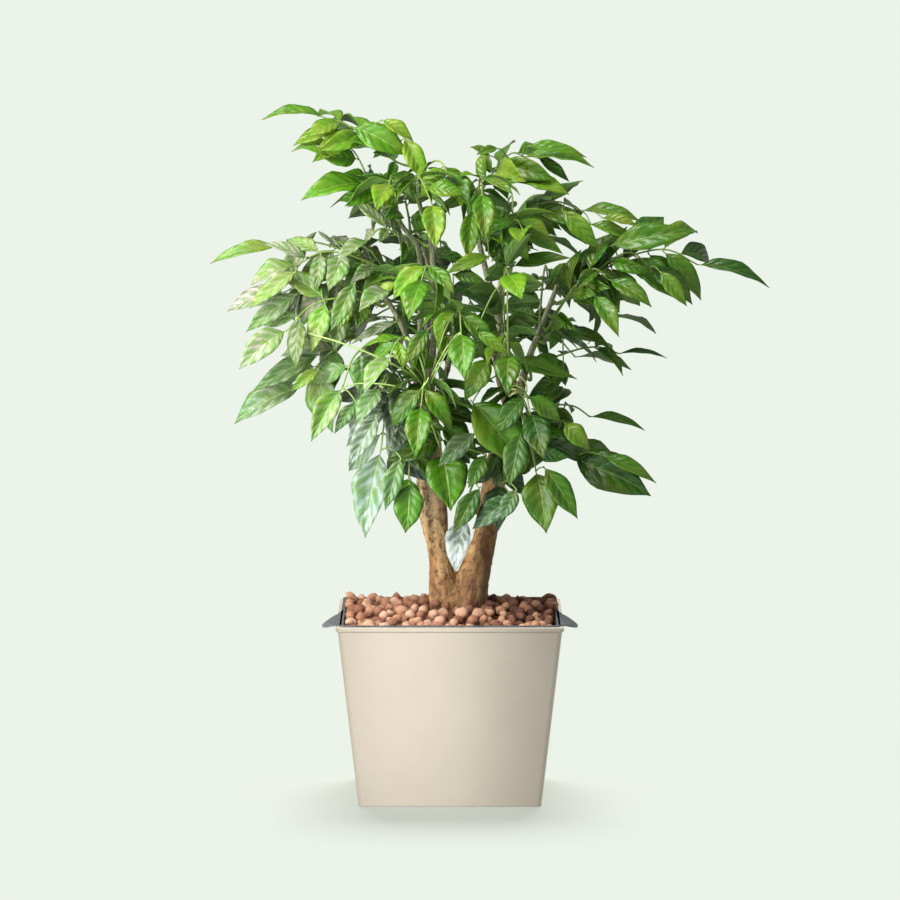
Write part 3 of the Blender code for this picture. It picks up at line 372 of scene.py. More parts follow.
def test_blade(leaflet, thickness, rows=ROWS_TEST, start=0.0):
    """A leaflet, or its outer stretch, for the clearance test."""
    return blade(leaflet, rows, thickness, blade_feet(leaflet, start, thickness))


def leaflet_rows(leaflet):
    return ROWS_LONG if leaflet.length >= LONG_LEAFLET else ROWS_SHORT


class Clearance:
    """What already stands in the crown, which later pieces keep clear of."""

    def __init__(self):
        self.verts, self.faces = [], []
        self.tree = None

    def add(self, verts, faces):
        start = len(self.verts)
        self.verts += verts
        self.faces += [tuple(index + start for index in face) for face in faces]
        self.tree = None

    def free(self, verts, faces):
        if not self.faces:
            return True
        if self.tree is None:
            self.tree = BVHTree.FromPolygons(self.verts, self.faces)
        return not self.tree.overlap(BVHTree.FromPolygons(verts, faces))


def limb_point(limb, at):
    """The centre, direction and radius of a limb at a share of its length."""
    points = [Vector(row[:3]) for row in limb]
    spans = [(b - a).length for a, b in zip(points, points[1:])]
    left = at * sum(spans) * SHORT_OF_END
    for index, span in enumerate(spans):
        if left <= span:
            break
        left -= span
    share = left / span
    along = (points[index + 1] - points[index]).normalized()
    radius = limb[index][3] * (1 - share) + limb[index + 1][3] * share
    return points[index].lerp(points[index + 1], share), along, radius


def bezier(a, b, c, d, count):
    places = []
    for step in range(count):
        t = step / (count - 1)
        places.append(a * (1 - t) ** 3 + b * 3 * t * (1 - t) ** 2 + c * 3 * t * t * (1 - t) + d * t**3)
    return places


def leaf_frame(heading, up):
    heading = heading.normalized()
    return heading, (up - heading * up.dot(heading)).normalized()


def turned(heading, normal, yaw, pitch):
    """The leaf's frame turned about its own normal and then lifted."""
    spun = Matrix.Rotation(math.radians(yaw), 3, normal) @ heading
    axis = spun.cross(normal)
    lift = Matrix.Rotation(math.radians(pitch), 3, axis)
    return (lift @ spun).normalized(), (lift @ normal).normalized()


def stalk_length(places):
    return sum((b - a).length for a, b in zip(places, places[1:]))


def stalk_frames(places, up):
    """The direction and the upper side of each stretch of a stalk, turned as little as can be from the next."""
    frames = []
    for start, end in reversed(list(zip(places, places[1:]))):
        forward, up = leaf_frame(end - start, up)
        frames.append((forward, up))
    return frames[::-1]


def along_stalk(places, up, distance):
    """The place, the direction and the upper side at a distance along a stalk, evened out at its bends."""
    frames = stalk_frames(places, up)
    for index, (start, end) in enumerate(zip(places, places[1:])):
        span = (end - start).length
        if distance <= span or index == len(frames) - 1:
            break
        distance -= span
    forward, upward = frames[index]
    if distance > span - EVENED_AT_BEND and index + 1 < len(frames):
        forward, upward = leaf_frame(forward + frames[index + 1][0], upward + frames[index + 1][1])
    return start.lerp(end, min(1, distance / span)), forward, upward


def stalk_of(frond, shift, out, root, end, reach):
    """Points of a frond's stalk, square off its limb and arched over to its end leaflet."""
    span = (end - root).length
    side = (end - root).cross(UP).normalized()
    moved = side * shift[0] + UP * (frond.arch + shift[1])
    first = root + out * (span * STALK_OUT) + moved * STALK_LIFT
    second = end - reach * (span * STALK_BEFORE_END) + moved
    places = bezier(root, first, second, end, STALK_POINTS)
    return [root, root + out * ROOT_REACH] + places[1:]


def ring_distances(placed):
    """Where the stalk's rings stand: at its ends and bends, and on both sides of each pair of leaflets."""
    total = stalk_length(placed.stalk)
    pairs = sorted({leaflet.distance for leaflet in placed.leaflets if leaflet.way})
    rings = [0.0, total]
    for distance in pairs:
        rings += [distance - LEAF_STALK, distance + LEAF_STALK]
    bend = 0.0
    for start, end in zip(placed.stalk[:-1], placed.stalk[1:-1]):
        bend += (end - start).length
        if all(abs(bend - ring) > RINGS_APART for ring in rings[1:]):
            rings.append(bend)
    return sorted(rings)


def stalk_rings(placed, distances):
    """Square rings along the stalk."""
    rings = []
    for distance in distances:
        place, forward, upward = along_stalk(placed.stalk, placed.up, distance)
        side = forward.cross(upward)
        half = STALK_ROOT + (STALK_TIP - STALK_ROOT) * distance / distances[-1]
        corners = ((-1, 1), (1, 1), (1, -1), (-1, -1))
        rings.append([place + (side * across + upward * above) * half for across, above in corners])
    return rings


def skin(placed):
    """A compound leaf in one skin: a square stalk with its leaflets drawn out of its sides and its end. Gives
    the vertices, the triangles and, for each triangle, the number of its leaflet, or -1 on the stalk."""
    distances = ring_distances(placed)
    rings = stalk_rings(placed, distances)
    verts = [place for ring in rings for place in ring]
    triangles, owners, taken = [], [], set()
    for number, leaflet in enumerate(placed.leaflets):
        if leaflet.way:
            foot = leaflet.distance - LEAF_STALK
            inner = min(range(len(distances)), key=lambda ring: abs(distances[ring] - foot))
            taken.add((inner, leaflet.way))
            low, high = 4 * inner, 4 * inner + 4
            if leaflet.way > 0:
                feet = [high + 1, low + 1, high + 2, low + 2]
            else:
                feet = [low, high, low + 3, high + 3]
        else:
            last = 4 * (len(rings) - 1)
            feet = [last, last + 1, last + 3, last + 2]
        places, faces = blade(leaflet, leaflet_rows(leaflet), BLADE, [verts[foot] for foot in feet])
        under = (len(places) - 1) // 2
        own = dict(zip((0, 1, under, under + 1), feet))
        for index, place in enumerate(places):
            if index not in own:
                own[index] = len(verts)
                verts.append(place)
        for face in faces:
            triangles += split_face([own[index] for index in face])
        owners += [number] * (len(triangles) - len(owners))
    for ring in range(len(rings) - 1):
        for corner, way in enumerate((0, 1, 0, -1)):
            if (ring, way) not in taken:
                first, beside = 4 * ring + corner, 4 * ring + (corner + 1) % 4
                triangles += split_face([first, beside, beside + 4, first + 4])
    triangles += split_face([0, 1, 2, 3])
    owners += [-1] * (len(triangles) - len(owners))
    return verts, triangles, owners


def split_face(corners):
    """A face of three or four corners as triangles."""
    if len(corners) == 3:
        return [tuple(corners)]
    return [tuple(corners[:3]), (corners[0], corners[2], corners[3])]


def crossings(placed):
    """The numbers of the leaflets whose skin crosses the frond's own, and -1 if the stalk crosses itself."""
    verts, triangles, owners = skin(placed)
    tree = BVHTree.FromPolygons(verts, triangles)
    pairs = [(a, b) for a, b in tree.overlap(tree) if not set(triangles[a]) & set(triangles[b])]
    return {max(owners[a], owners[b]) for a, b in pairs}


def without_crossings(placed):
    """The frond less the leaflets whose skin crosses its own, or None where the stalk or end leaflet does."""
    while crossed := crossings(placed):
        dropped = max(crossed)
        if dropped < 1:
            return None
        kept = [leaflet for number, leaflet in enumerate(placed.leaflets) if number != dropped]
        placed = placed._replace(leaflets=kept)
    return placed


def tries(leaflet):
    """The leaflet at each size and turn that may fit, the best first."""
    for shrink in SHRINKS:
        for yaw, pitch in TURNS:
            heading, normal = turned(leaflet.heading, leaflet.normal, yaw, pitch)
            yield leaflet._replace(
                heading=heading, normal=normal, length=leaflet.length * shrink, width=leaflet.width * shrink
            )


def seat_leaflet(leaflet, clearance, windows, own_blades, bare):
    """The leaflet bent clear of what stands already and of its own frond, or None where nothing fits. bare is
    the frond without its pairs."""
    for tried in tries(leaflet):
        whole = test_blade(tried, BLADE + 2 * CLEAR)
        if not (clearance.free(*whole) and windows.free(*whole)):
            continue
        if not own_blades.free(*test_blade(tried, BLADE + 2 * CLEAR, leaflet_rows(tried), OWN_START)):
            continue
        if not crossings(bare._replace(leaflets=bare.leaflets + [tried])):
            return tried
    return None


def pair_leaflets(frond, places, up, rng):
    """The frond's leaflets in pairs along its stalk, before they are bent clear."""
    leaflets = []
    length = stalk_length(places)
    for pair in range(frond.pairs):
        share = FIRST_PAIR + (LAST_PAIR - FIRST_PAIR) * (pair + 0.5) / frond.pairs
        share += rng.uniform(-PAIR_SHIFT, PAIR_SHIFT)
        centre, forward, upward = along_stalk(places, up, share * length)
        for way in (-1, 1):
            side = forward.cross(upward) * way
            angle = math.radians(SIDE_ANGLE + rng.uniform(-SIDE_TURN, SIDE_TURN))
            aim = forward * math.cos(angle) + side * math.sin(angle) - UP * (HANG + rng.uniform(-HANG, HANG))
            heading, normal = leaf_frame(aim, upward + side * rng.uniform(*LEANS))
            swell = SIZE_AT_ENDS + SIZE_AT_MIDDLE * math.sin(math.pi * share)
            size = frond.leaf * rng.uniform(*SIZES) * swell
            width = size * WIDTH_SHARE * rng.uniform(*WIDTHS)
            bend = math.radians(BEND) * rng.uniform(*BENDS)
            fold = math.radians(FOLD) * rng.uniform(*FOLDS)
            twist = math.radians(rng.uniform(-TWIST, TWIST))
            base = centre + side * STALK_TIP
            distance = share * length
            leaflets.append(Leaflet(base, heading, normal, size, width, bend, fold, twist, distance, way))
    return leaflets


def place_frond(frond, seed, clearance, windows, wood):
    """Works out one frond: its stalk, then its end leaflet and its pairs, each bent clear of the rest."""
    rng = random.Random(seed)
    centre, along, thick = limb_point(WHOLE_LIMBS[frond.limb], frond.at)
    tip = Vector(frond.tip)
    towards = tip - centre
    out = (towards - along * towards.dot(along)).normalized()
    bark = wood.ray_cast(centre + out * (thick + SEARCH), -out)[0]
    root = (bark or centre + out * thick) + out * SEAT
    level = Vector((towards.x, towards.y, 0)).normalized()
    slope = math.radians(frond.slope)
    reach = level * math.cos(slope) - UP * math.sin(slope)
    face = math.radians(frond.face)
    outward = (FRONT + level * FACE_OUT).normalized() if tip.y < FRONT_TIPS else level
    up = UP * math.cos(face) + outward * math.sin(face)
    heading, normal = leaf_frame(reach, up)
    bend = math.radians(BEND) * rng.uniform(*END_BENDS)
    heading, normal = turned(heading, normal, 0, math.degrees(bend) / 2)
    end_length = frond.leaf * END_SIZE
    end = tip - reach * end_length * math.sin(bend / 2) / (bend / 2)
    width = end_length * WIDTH_SHARE
    twist = math.radians(rng.uniform(-END_TWIST, END_TWIST))
    last = Leaflet(end, heading, normal, end_length, width, bend, math.radians(FOLD), twist, 0, 0)
    for shift in STALK_SHIFTS:
        places = stalk_of(frond, shift, out, root, end, reach)
        bare = Placed(frond.name, places, up, [])
        room = [STALK_ROOT + CLEAR] * (len(places) - 1)
        stalk_clear = clearance.free(*prism(places[1:], room, STALK_TEST_SIDES))
        if stalk_clear and not crossings(bare._replace(leaflets=[last])):
            break
    else:
        return None
    own_blades = Clearance()
    last = seat_leaflet(last, clearance, windows, own_blades, bare)
    if last is None:
        return None
    bare.leaflets.append(last)
    seated = [last]
    for leaflet in pair_leaflets(frond, places, up, rng):
        leaflet = seat_leaflet(leaflet, clearance, windows, own_blades, bare)
        if leaflet:
            seated.append(leaflet)
            own_blades.add(*test_blade(leaflet, BLADE, leaflet_rows(leaflet), OWN_START))
    placed = without_crossings(bare._replace(leaflets=seated))
    if placed is None:
        return None
    clearance.add(*prism(places, [STALK_ROOT * STALK_ROOM] * len(places), STALK_TEST_SIDES))
    for leaflet in placed.leaflets:
        clearance.add(*test_blade(leaflet, BLADE))
    return placed


def back_fronds():
    """The fronds of the crown's far side."""
    rng = random.Random(BACK_SEED)
    rows = []
    for index in range(BACK_FRONDS):
        turn = (index * GOLDEN_TURN + BACK_START) % 1
        angle = math.radians(BACK_FROM + (BACK_TO - BACK_FROM) * turn)
        rise = index / (BACK_FRONDS - 1)
        height = BACK_LOW + (BACK_HIGH - BACK_LOW) * rise
        reach = BACK_REACH * (1 - BACK_NARROWING * rise) * rng.uniform(*BACK_REACHES)
        limb = BACK_LIMBS[index % len(BACK_LIMBS)]
        at = BACK_AT_LOW + BACK_AT_RISE * rise
        tip = (BACK_MIDDLE[0] + reach * math.cos(angle), BACK_MIDDLE[1] + reach * math.sin(angle), height)
        slope = BACK_SLOPE_LOW - BACK_SLOPE_RISE * rise
        name, leaf = f"back_{index + 1:02d}", rng.uniform(*BACK_LEAF)
        rows.append(Frond(name, limb, at, tip, slope, BACK_FACE, BACK_PAIRS, leaf, BACK_ARCH))
    return rows


def add_windows(windows, gaps):
    """Round windows that run through the crown along the line of sight."""
    for x, z, radius in gaps:
        near, far = Vector((x, -SIGHT_DEPTH, z + SIGHT_RISE)), Vector((x, SIGHT_DEPTH, z - SIGHT_RISE))
        windows.add(*prism([near, far], [radius] * 2, WINDOW_SIDES))


def crown():
    """Every frond of the plant, worked out one after another, with what keeps more leaflets clear of them."""
    clearance = Clearance()
    for limb in [STUMP, SIDE_STEM, CUT_STUB, *WHOLE_LIMBS.values()]:
        clearance.add(*prism([Vector(row[:3]) for row in limb], [row[3] for row in limb], LIMB_TEST_SIDES))
    wood = BVHTree.FromPolygons(clearance.verts, clearance.faces)
    top = Vector((0, 0, POT_HEIGHT + MOUTH_CLEAR))
    mouth = (POT_RIM / 2 + LIP_REACH) * MOUTH_CORNERS
    clearance.add(*prism([Vector((0, 0, 0)), top], [mouth] * 2, MOUTH_SIDES))
    windows = Clearance()
    add_windows(windows, SIGHT_GAPS)
    placed = []
    for seed, frond in enumerate(FRONDS + back_fronds()):
        for shift in LIMB_SHIFTS:
            at = min(1.0, max(LOWEST_AT, frond.at + shift))
            made = place_frond(frond._replace(at=at), seed, clearance, windows, wood)
            if made:
                placed.append(made)
                break
    return placed, clearance, windows


def leaf_tone(placed):
    """Dark for the shaded fronds behind and low on the right, light for those at the top and the front."""
    tip = blade_point(placed.leaflets[0], 1.0, 0)
    if tip.y > SHADE_BEHIND or (tip.x > SHADE_RIGHT and tip.z < SHADE_BELOW):
        return "leaf_dark"
    if tip.z > LIGHT_ABOVE or tip.y < LIGHT_BEFORE:
        return "leaf_light"
    return "leaf_mid"


# Fine leaflets, in pieces named FOLIAGE and their frond. The grid of one is LEAF_ACROSS by LEAF_ALONG faces.
FOLIAGE = "foliage_"
LEAF_ACROSS = 6
LEAF_ALONG = 13
# The vertex layers: random tone with painted light and shade, and painted sheen
LEAF_LAYERS = ("tone", "bloom")
LEAF_THICKNESS = 0.55
LEAF_NECK = 0.55
LEAF_DOME = 0.085
FINE_WIDTH = (0.76, 0.98)
FINE_TWIST = 22
RIB_SWAY = 0.012
FINE_FOLD = (0.6, 1.8)
MARGIN_WAVE = 0.075
MARGIN_WAVES = (1.6, 3.2)
WAVE_LAG = 1.3
MARGIN_SCALLOP = 0.045
SCALLOPS = 2.4
LEAF_MERGE = 0.02
# How wide the end leaflets of some fronds are beside the rest
END_WIDTH = {
    "centre_low": 1.5, "left_hanging_small": 1.4, "front_low": 1.25, "right_hanging": 1.15,
    "right_low_big": 1.05, "crotch": 1.15, "left_far": 0.56, "right_far": 0.64, "right_upper": 0.72,
    "right_thin": 0.45, "right_low_small": 0.66, "top_left_high": 0.74, "top_right": 0.86,
}
END_CROWDING = 0.04
VEIN_PAIRS = 7

# Painted light and shade on the leaflets: how light a leaflet is at the crown's foot and with its height,
# painted shade to the right and behind, painted light in front
CROWN_FOOT, CROWN_RISE = 300, 330
FOOT_LIGHT, RISE_LIGHT = 0.3, 0.36
RIGHT_FROM, RIGHT_SPAN, RIGHT_SHADE = 40, 240, 0.15
BEHIND_FROM, BEHIND_SPAN, BEHIND_SHADE = 20, 200, 0.24
FRONT_SPAN, FRONT_LIGHT = 160, 0.22
LIGHT_SPREAD = 0.17
LIGHTEST = 0.82
# Fronds given more painted light than their place alone would give them
LIGHTER = {"right_low_big": 0.2, "right_low_small": 0.1, "right_middle": 0.12}

# Painted sheen and reflection on the leaves, its colour by height in metres
SHEEN_COLOURS = [
    (0.25, (0.74, 0.82, 0.8)), (0.3, (0.32, 0.42, 0.38)), (0.39, (0.29, 0.34, 0.28)),
    (0.46, (0.44, 0.38, 0.36)),
]
# How much painted sheen is on the fronds that catch the window's side and on the leaf in the trunk's fork
SHEEN = {
    "crotch": 1.5, "left_hanging": 0.85, "left_middle_low": 0.5, "left_middle": 0.5, "left_middle_high": 0.72,
    "left_far_low": 0.6, "left_low": 0.45, "front_low": 0.25, "left_low_inner": 0.4, "left_curled": 0.5,
    "left_far": 0.1,
}
SHEEN_VARIES = (0.2, 1.2)
# The part of the crown's left side that has some painted sheen on every frond, in x and in z
LEFT_SHEEN = 0.5
LEFT_SHEEN_ACROSS = (-160, -55)
LEFT_SHEEN_HEIGHT = (440, 590)

# Leaflets that fill the crown where the fronds leave it open, each with the frond it belongs to, the places of
# its base and tip, how far it turns from facing up to facing the front, and its width as a share of its length
Sprig = namedtuple("Sprig", "frond base tip face width")
SPRIGS = [Sprig(*row) for row in (
    ("top_left_high", (-98, -10, 669), (-40, -14, 641), 62, 0.5),
    ("top_left_high", (-46, -12, 660), (-24, -12, 616), 74, 0.56),
    ("top_left_low", (-118, -4, 640), (-152, -8, 650), 40, 0.4),
    ("top_right", (48, -8, 648), (26, -12, 642), 60, 0.5),
    ("crown_right", (28, -58, 612), (34, -64, 558), 76, 0.55),
    ("crown_right", (40, -66, 545), (-4, -74, 528), 54, 0.42),
    ("crown_front", (-14, -60, 600), (-12, -66, 556), 74, 0.5),
    ("right_upper", (52, -40, 574), (78, -48, 540), 66, 0.52),
    ("right_upper", (64, -36, 570), (112, -44, 545), 48, 0.4),
    ("right_upper", (110, -20, 588), (148, -26, 548), 66, 0.5),
    ("right_upper", (150, -18, 580), (186, -22, 572), 40, 0.4),
    ("right_far", (156, -30, 552), (242, -34, 566), 58, 0.36),
    ("right_far_low", (206, -50, 530), (234, -54, 494), 66, 0.44),
    ("right_middle", (52, -20, 440), (126, -24, 422), 58, 0.34),
    ("right_hanging", (20, -64, 402), (74, -72, 334), 66, 0.6),
    ("front_low", (26, -78, 372), (-12, -84, 338), 64, 0.56),
    ("front_low", (62, -78, 308), (22, -84, 276), 66, 0.62),
    ("front_low", (70, -60, 372), (58, -66, 318), 70, 0.56),
    ("right_hanging", (92, -70, 338), (126, -76, 286), 66, 0.4),
    ("left_low", (-128, -40, 446), (-196, -44, 408), 62, 0.36),
    ("left_middle_high", (-148, -44, 508), (-202, -50, 468), 60, 0.36),
    ("left_far_low", (-140, -40, 540), (-186, -44, 556), 56, 0.4),
    ("left_far_low", (-150, -44, 530), (-198, -50, 492), 60, 0.4),
    ("left_middle", (-92, -60, 520), (-118, -70, 470), 68, 0.42),
    ("left_hanging", (-70, -84, 392), (-98, -92, 340), 66, 0.46),
    ("left_hanging", (-48, -90, 350), (-64, -96, 296), 70, 0.44),
    ("crown_right", (22, -58, 590), (17, -66, 541), 74, 0.5),
    ("crown_right", (2, -70, 527), (37, -76, 518), 60, 0.4),
    ("middle_front", (4, -62, 436), (44, -70, 420), 62, 0.42),
    ("middle_front", (40, -62, 446), (14, -70, 402), 70, 0.5),
    ("right_middle", (114, -30, 424), (76, -36, 400), 66, 0.44),
    ("centre_low", (36, -72, 350), (18, -78, 316), 72, 0.55),
    ("centre_low", (30, -80, 318), (3, -86, 272), 72, 0.5),
    ("right_upper", (138, -30, 574), (184, -36, 556), 50, 0.42),
    ("left_hanging_small", (-38, -86, 324), (-44, -90, 273), 74, 0.6),
    ("right_low_big", (112, -60, 380), (138, -68, 352), 66, 0.6),
    ("right_upper", (62, -16, 531), (120, -24, 540), 52, 0.38),
    ("top_left_high", (-112, -12, 667), (-156, -14, 650), 46, 0.42),
    ("top_left_high", (-68, -22, 677), (-36, -24, 655), 56, 0.5),
    ("top_right", (74, -8, 650), (136, -12, 639), 44, 0.32),
    ("top_right", (86, -10, 640), (119, -14, 614), 52, 0.34),
    ("top_right", (40, -8, 640), (20, -8, 649), 50, 0.62),
    ("right_low_big", (150, -36, 345), (205, -42, 317), 52, 0.34),
    ("front_low", (66, -80, 318), (50, -84, 286), 70, 0.5),
    ("left_low_inner", (-92, -70, 402), (-114, -76, 370), 66, 0.4),
    ("left_low", (-128, -50, 433), (-158, -56, 410), 62, 0.42),
    ("left_middle", (-50, -40, 479), (-98, -46, 456), 52, 0.26),
    ("centre_dark", (24, -84, 476), (58, -90, 452), 62, 0.42),
    ("middle_front", (-20, -80, 476), (-44, -86, 440), 66, 0.42),
)]
SPRIG_SHIFTS = (0, 6, -6, 12, -12, 20, -20, 30, 42)
SPRIG_BEND = 34
# Round windows that only the added leaflets leave open: x, z and radius
OPEN_SKY = [
    (38, 654, 9), (-115, 640, 14), (-92, 582, 10), (-66, 557, 12), (64, 597, 8), (120, 608, 9), (100, 500, 7),
    (95, 333, 7), (-180, 590, 14), (-205, 570, 12),
]
# Long thin stalks from the tops of the leaders to leaflets at the front of the crown. The lower stretch of each,
# among the others, isn't tested for clearance.
STALK_HUBS = [(-26, -12, 398), (-22, -16, 404), (64, -8, 392), (58, -12, 402)]
LONG_STALKS = 150
LONG_STALK_SEED = 5
LONG_STALK_POINTS = 9
LONG_STALK_TESTED = 4
LONG_STALK_TEST_SIDES = 4
LONG_STALK_RISE = 50
LONG_STALK_FORWARD = (30, 130)
LONG_STALK_LEAD = 16
LONG_STALK_DIP = 12
LONG_STALK_FOOT = 1.7
LONG_STALK_TAPER = 12
STALK_FRONT = -40
STALK_TOP = 505

# More leaflets, fitted between the CAD ones from the middle of each stalk inwards
INNER_SHARES = (0.46, 0.37, 0.28, 0.2)
SHORTEST_STALK = 60
INNER_SIZE = 0.78
INNER_TURN = 16
INNER_HANG = 0.35
INNER_SIZES = (0.8, 1.1)
INNER_BENDS = (0.6, 1.2)

# Stalks, and the short stems from a frond's stalk to its leaflets. A stem runs by a leaflet's neck to its rib,
# and one shorter than STRAIGHT_STEM isn't arched.
STALK_ROUNDNESS = 1
STALK_STEPS = 4
STALK_HEEL = 1.7
STALK_SWELL = 1.35
STALK_SUNK = 2.5
STRAIGHT_STEM = 3 * STALK_SUNK
PETIOLULE = 0.62
PETIOLULE_FOOT = 1.2
PETIOLULE_MIDDLE = 1.1
PETIOLULE_END = 0.55
PETIOLULE_ARCH = 0.12
PETIOLULE_STEPS = 3
NECK_AT = BARE * 0.6
RIB_AT = BARE * 1.8


class Finish:
    """A procedural material while it is being put together."""

    def __init__(self, name, roughness=0.5):
        self.material = bpy.data.materials.new(name)
        self.material.use_nodes = True
        self.nodes = self.material.node_tree.nodes
        self.shader = self.nodes["Principled BSDF"]
        self.shader.inputs["Roughness"].default_value = roughness

    def add(self, kind, inputs=None, **settings):
        node = self.nodes.new(kind)
        for key, value in settings.items():
            setattr(node, key, value)
        for key, value in (inputs or {}).items():
            if isinstance(value, bpy.types.NodeSocket):
                self.material.node_tree.links.new(value, node.inputs[key])
            else:
                node.inputs[key].default_value = value
        return node

    def set(self, name, socket):
        self.material.node_tree.links.new(socket, self.shader.inputs[name])

    def object_place(self, stretch=(1, 1, 1)):
        """Object coordinates in metres, with the pattern stretched by the inverse of each scale."""
        place = self.add("ShaderNodeTexCoord").outputs["Object"]
        return self.add("ShaderNodeMapping", {"Vector": place, "Scale": stretch}).outputs["Vector"]

    def noise(self, place, size, detail=3.0, roughness=0.55):
        """Noise whose features are about the given size in millimetres."""
        inputs = {"Vector": place, "Scale": 1 / (size * MM), "Detail": detail, "Roughness": roughness}
        return self.add("ShaderNodeTexNoise", inputs).outputs["Fac"]

    def cells(self, place, size):
        inputs = {"Vector": place, "Scale": 1 / (size * MM)}
        return self.add("ShaderNodeTexVoronoi", inputs).outputs["Distance"]

    def attribute(self, name):
        return self.add("ShaderNodeAttribute", attribute_name=name).outputs["Fac"]

    def math(self, operation, first, second=0.0, clamp=False):
        node = self.add("ShaderNodeMath", {0: first, 1: second}, operation=operation, use_clamp=clamp)
        return node.outputs[0]

    def times(self, first, second, clamp=False):
        return self.math("MULTIPLY", first, second, clamp)

    def plus(self, first, second):
        return self.math("ADD", first, second)

    def minus(self, first, second):
        return self.math("SUBTRACT", first, second)

    def spread(self, value, low, high, to_low=0.0, to_high=1.0):
        """The value's range from low to high, mapped to another and held at its ends."""
        inputs = {"Value": value, "From Min": low, "From Max": high, "To Min": to_low, "To Max": to_high}
        return self.add("ShaderNodeMapRange", inputs).outputs["Result"]

    def ramp(self, value, stops):
        node = self.add("ShaderNodeValToRGB", {"Fac": value})
        marks = node.color_ramp.elements
        while len(marks) < len(stops):
            marks.new(0.5)
        for mark, (position, colour) in zip(marks, stops):
            mark.position = position
            mark.color = (*colour, 1)
        return node.outputs["Color"]

    def mix(self, share, first, second):
        node = self.add("ShaderNodeMix", data_type="RGBA")
        links = self.material.node_tree.links
        for socket, value in ((node.inputs[0], share), (node.inputs[6], first), (node.inputs[7], second)):
            if isinstance(value, bpy.types.NodeSocket):
                links.new(value, socket)
            elif isinstance(value, tuple):
                socket.default_value = (*value, 1)
            else:
                socket.default_value = value
        return node.outputs[2]

    def relief(self, height, depth, strength=1.0):
        """A bump of the given depth in millimetres."""
        inputs = {"Height": height, "Distance": depth * MM, "Strength": strength}
        return self.add("ShaderNodeBump", inputs).outputs["Normal"]


def leaf_veins(finish, place):
    """How near a point is to the rib and to a side vein, from 0 to 1, and how far it is from the nearest vein's
    middle, from 0 to 0.5."""
    grid = finish.add("ShaderNodeUVMap", uv_map="UVMap").outputs["UV"]
    split = finish.add("ShaderNodeSeparateXYZ", {"Vector": grid})
    across, along = split.outputs["X"], split.outputs["Y"]
    off_rib = finish.math("ABSOLUTE", finish.minus(across, 0.5))
    rib = finish.spread(off_rib, 0.012, 0.04, 1, 0)
    wander = finish.times(finish.minus(finish.noise(place, 14, 2), 0.5), 0.12)
    rising = finish.minus(finish.plus(along, wander), finish.times(off_rib, 0.42))
    phase = finish.math("FRACT", finish.times(rising, VEIN_PAIRS))
    off_vein = finish.math("ABSOLUTE", finish.minus(phase, 0.5))
    side_veins = finish.spread(off_vein, 0.03, 0.13, 1, 0)
    return rib, side_veins, off_vein


def sheened(finish, place, share, colour):
    """The leaf's colour under its painted sheen and reflection: cream high up, bluish low down and palest at the
    trunk.
    """
    height = finish.add("ShaderNodeSeparateXYZ", {"Vector": place}).outputs["Z"]
    return finish.mix(share, colour, finish.ramp(height, SHEEN_COLOURS))


def glossy_leaf():
    finish = Finish("glossy_leaf", 0.3)
    # Random tone with painted light and shade by place in the crown sets the green
    tone = finish.attribute("tone")
    place = finish.object_place()
    patches = finish.noise(place, 22, 2)
    shade = finish.plus(tone, finish.times(finish.minus(patches, 0.5), 0.35))
    green = finish.ramp(shade, [
        (0.0, (0.005, 0.028, 0.004)), (0.35, (0.022, 0.105, 0.005)), (0.65, (0.09, 0.27, 0.006)),
        (1.0, (0.22, 0.43, 0.014)),
    ])
    olive = finish.ramp(shade, [
        (0.0, (0.02, 0.035, 0.004)), (0.5, (0.13, 0.17, 0.01)), (1.0, (0.42, 0.48, 0.05)),
    ])
    green = finish.mix(finish.spread(finish.noise(place, 38, 3), 0.46, 0.66, 0, 0.6), green, olive)
    rib, side_veins, off_vein = leaf_veins(finish, place)
    veined = finish.mix(finish.times(side_veins, 0.16), green, (0.24, 0.4, 0.06))
    ribbed = finish.mix(finish.times(rib, 0.42), veined, (0.36, 0.5, 0.12))
    # Painted sheen and reflection: pale patches, strongest along the veins, where the sheen layer is set
    painted_light_mask = finish.spread(finish.noise(place, 16, 5, 0.6), 0.38, 0.6, 0.35, 1.25)
    streaks = finish.spread(off_vein, 0.06, 0.3, 1.3, 0.5)
    bloom = finish.times(finish.attribute("bloom"), finish.times(painted_light_mask, streaks), clamp=True)
    finish.set("Base Color", sheened(finish, place, bloom, ribbed))
    gloss = finish.noise(place, 6, 2)
    finish.set("Roughness", finish.spread(gloss, 0.3, 0.7, 0.25, 0.42))
    finish.shader.inputs["Specular IOR Level"].default_value = 0.48
    swell = finish.minus(finish.times(off_vein, 2.0), finish.times(rib, 0.8))
    pores = finish.times(finish.noise(place, 3.5, 1), 0.05)
    finish.set("Normal", finish.relief(finish.plus(swell, pores), 0.7, 0.75))
    return finish.material


def leaf_back():
    finish = Finish("leaf_back", 0.6)
    # Random tone with painted light and shade by place sets the underside's green
    tone = finish.attribute("tone")
    green = finish.ramp(tone, [(0.0, (0.03, 0.08, 0.02)), (0.6, (0.1, 0.22, 0.03)), (1.0, (0.24, 0.4, 0.06))])
    place = finish.object_place()
    rib, side_veins, _ = leaf_veins(finish, place)
    marked = finish.math("MAXIMUM", finish.times(side_veins, 0.4), rib)
    veined = finish.mix(marked, green, (0.26, 0.4, 0.14))
    # Painted sheen on the underside as well
    bloom = finish.times(finish.attribute("bloom"), 0.8)
    finish.set("Base Color", sheened(finish, place, bloom, veined))
    finish.set("Normal", finish.relief(finish.math("MAXIMUM", side_veins, rib), 0.6, 0.7))
    return finish.material


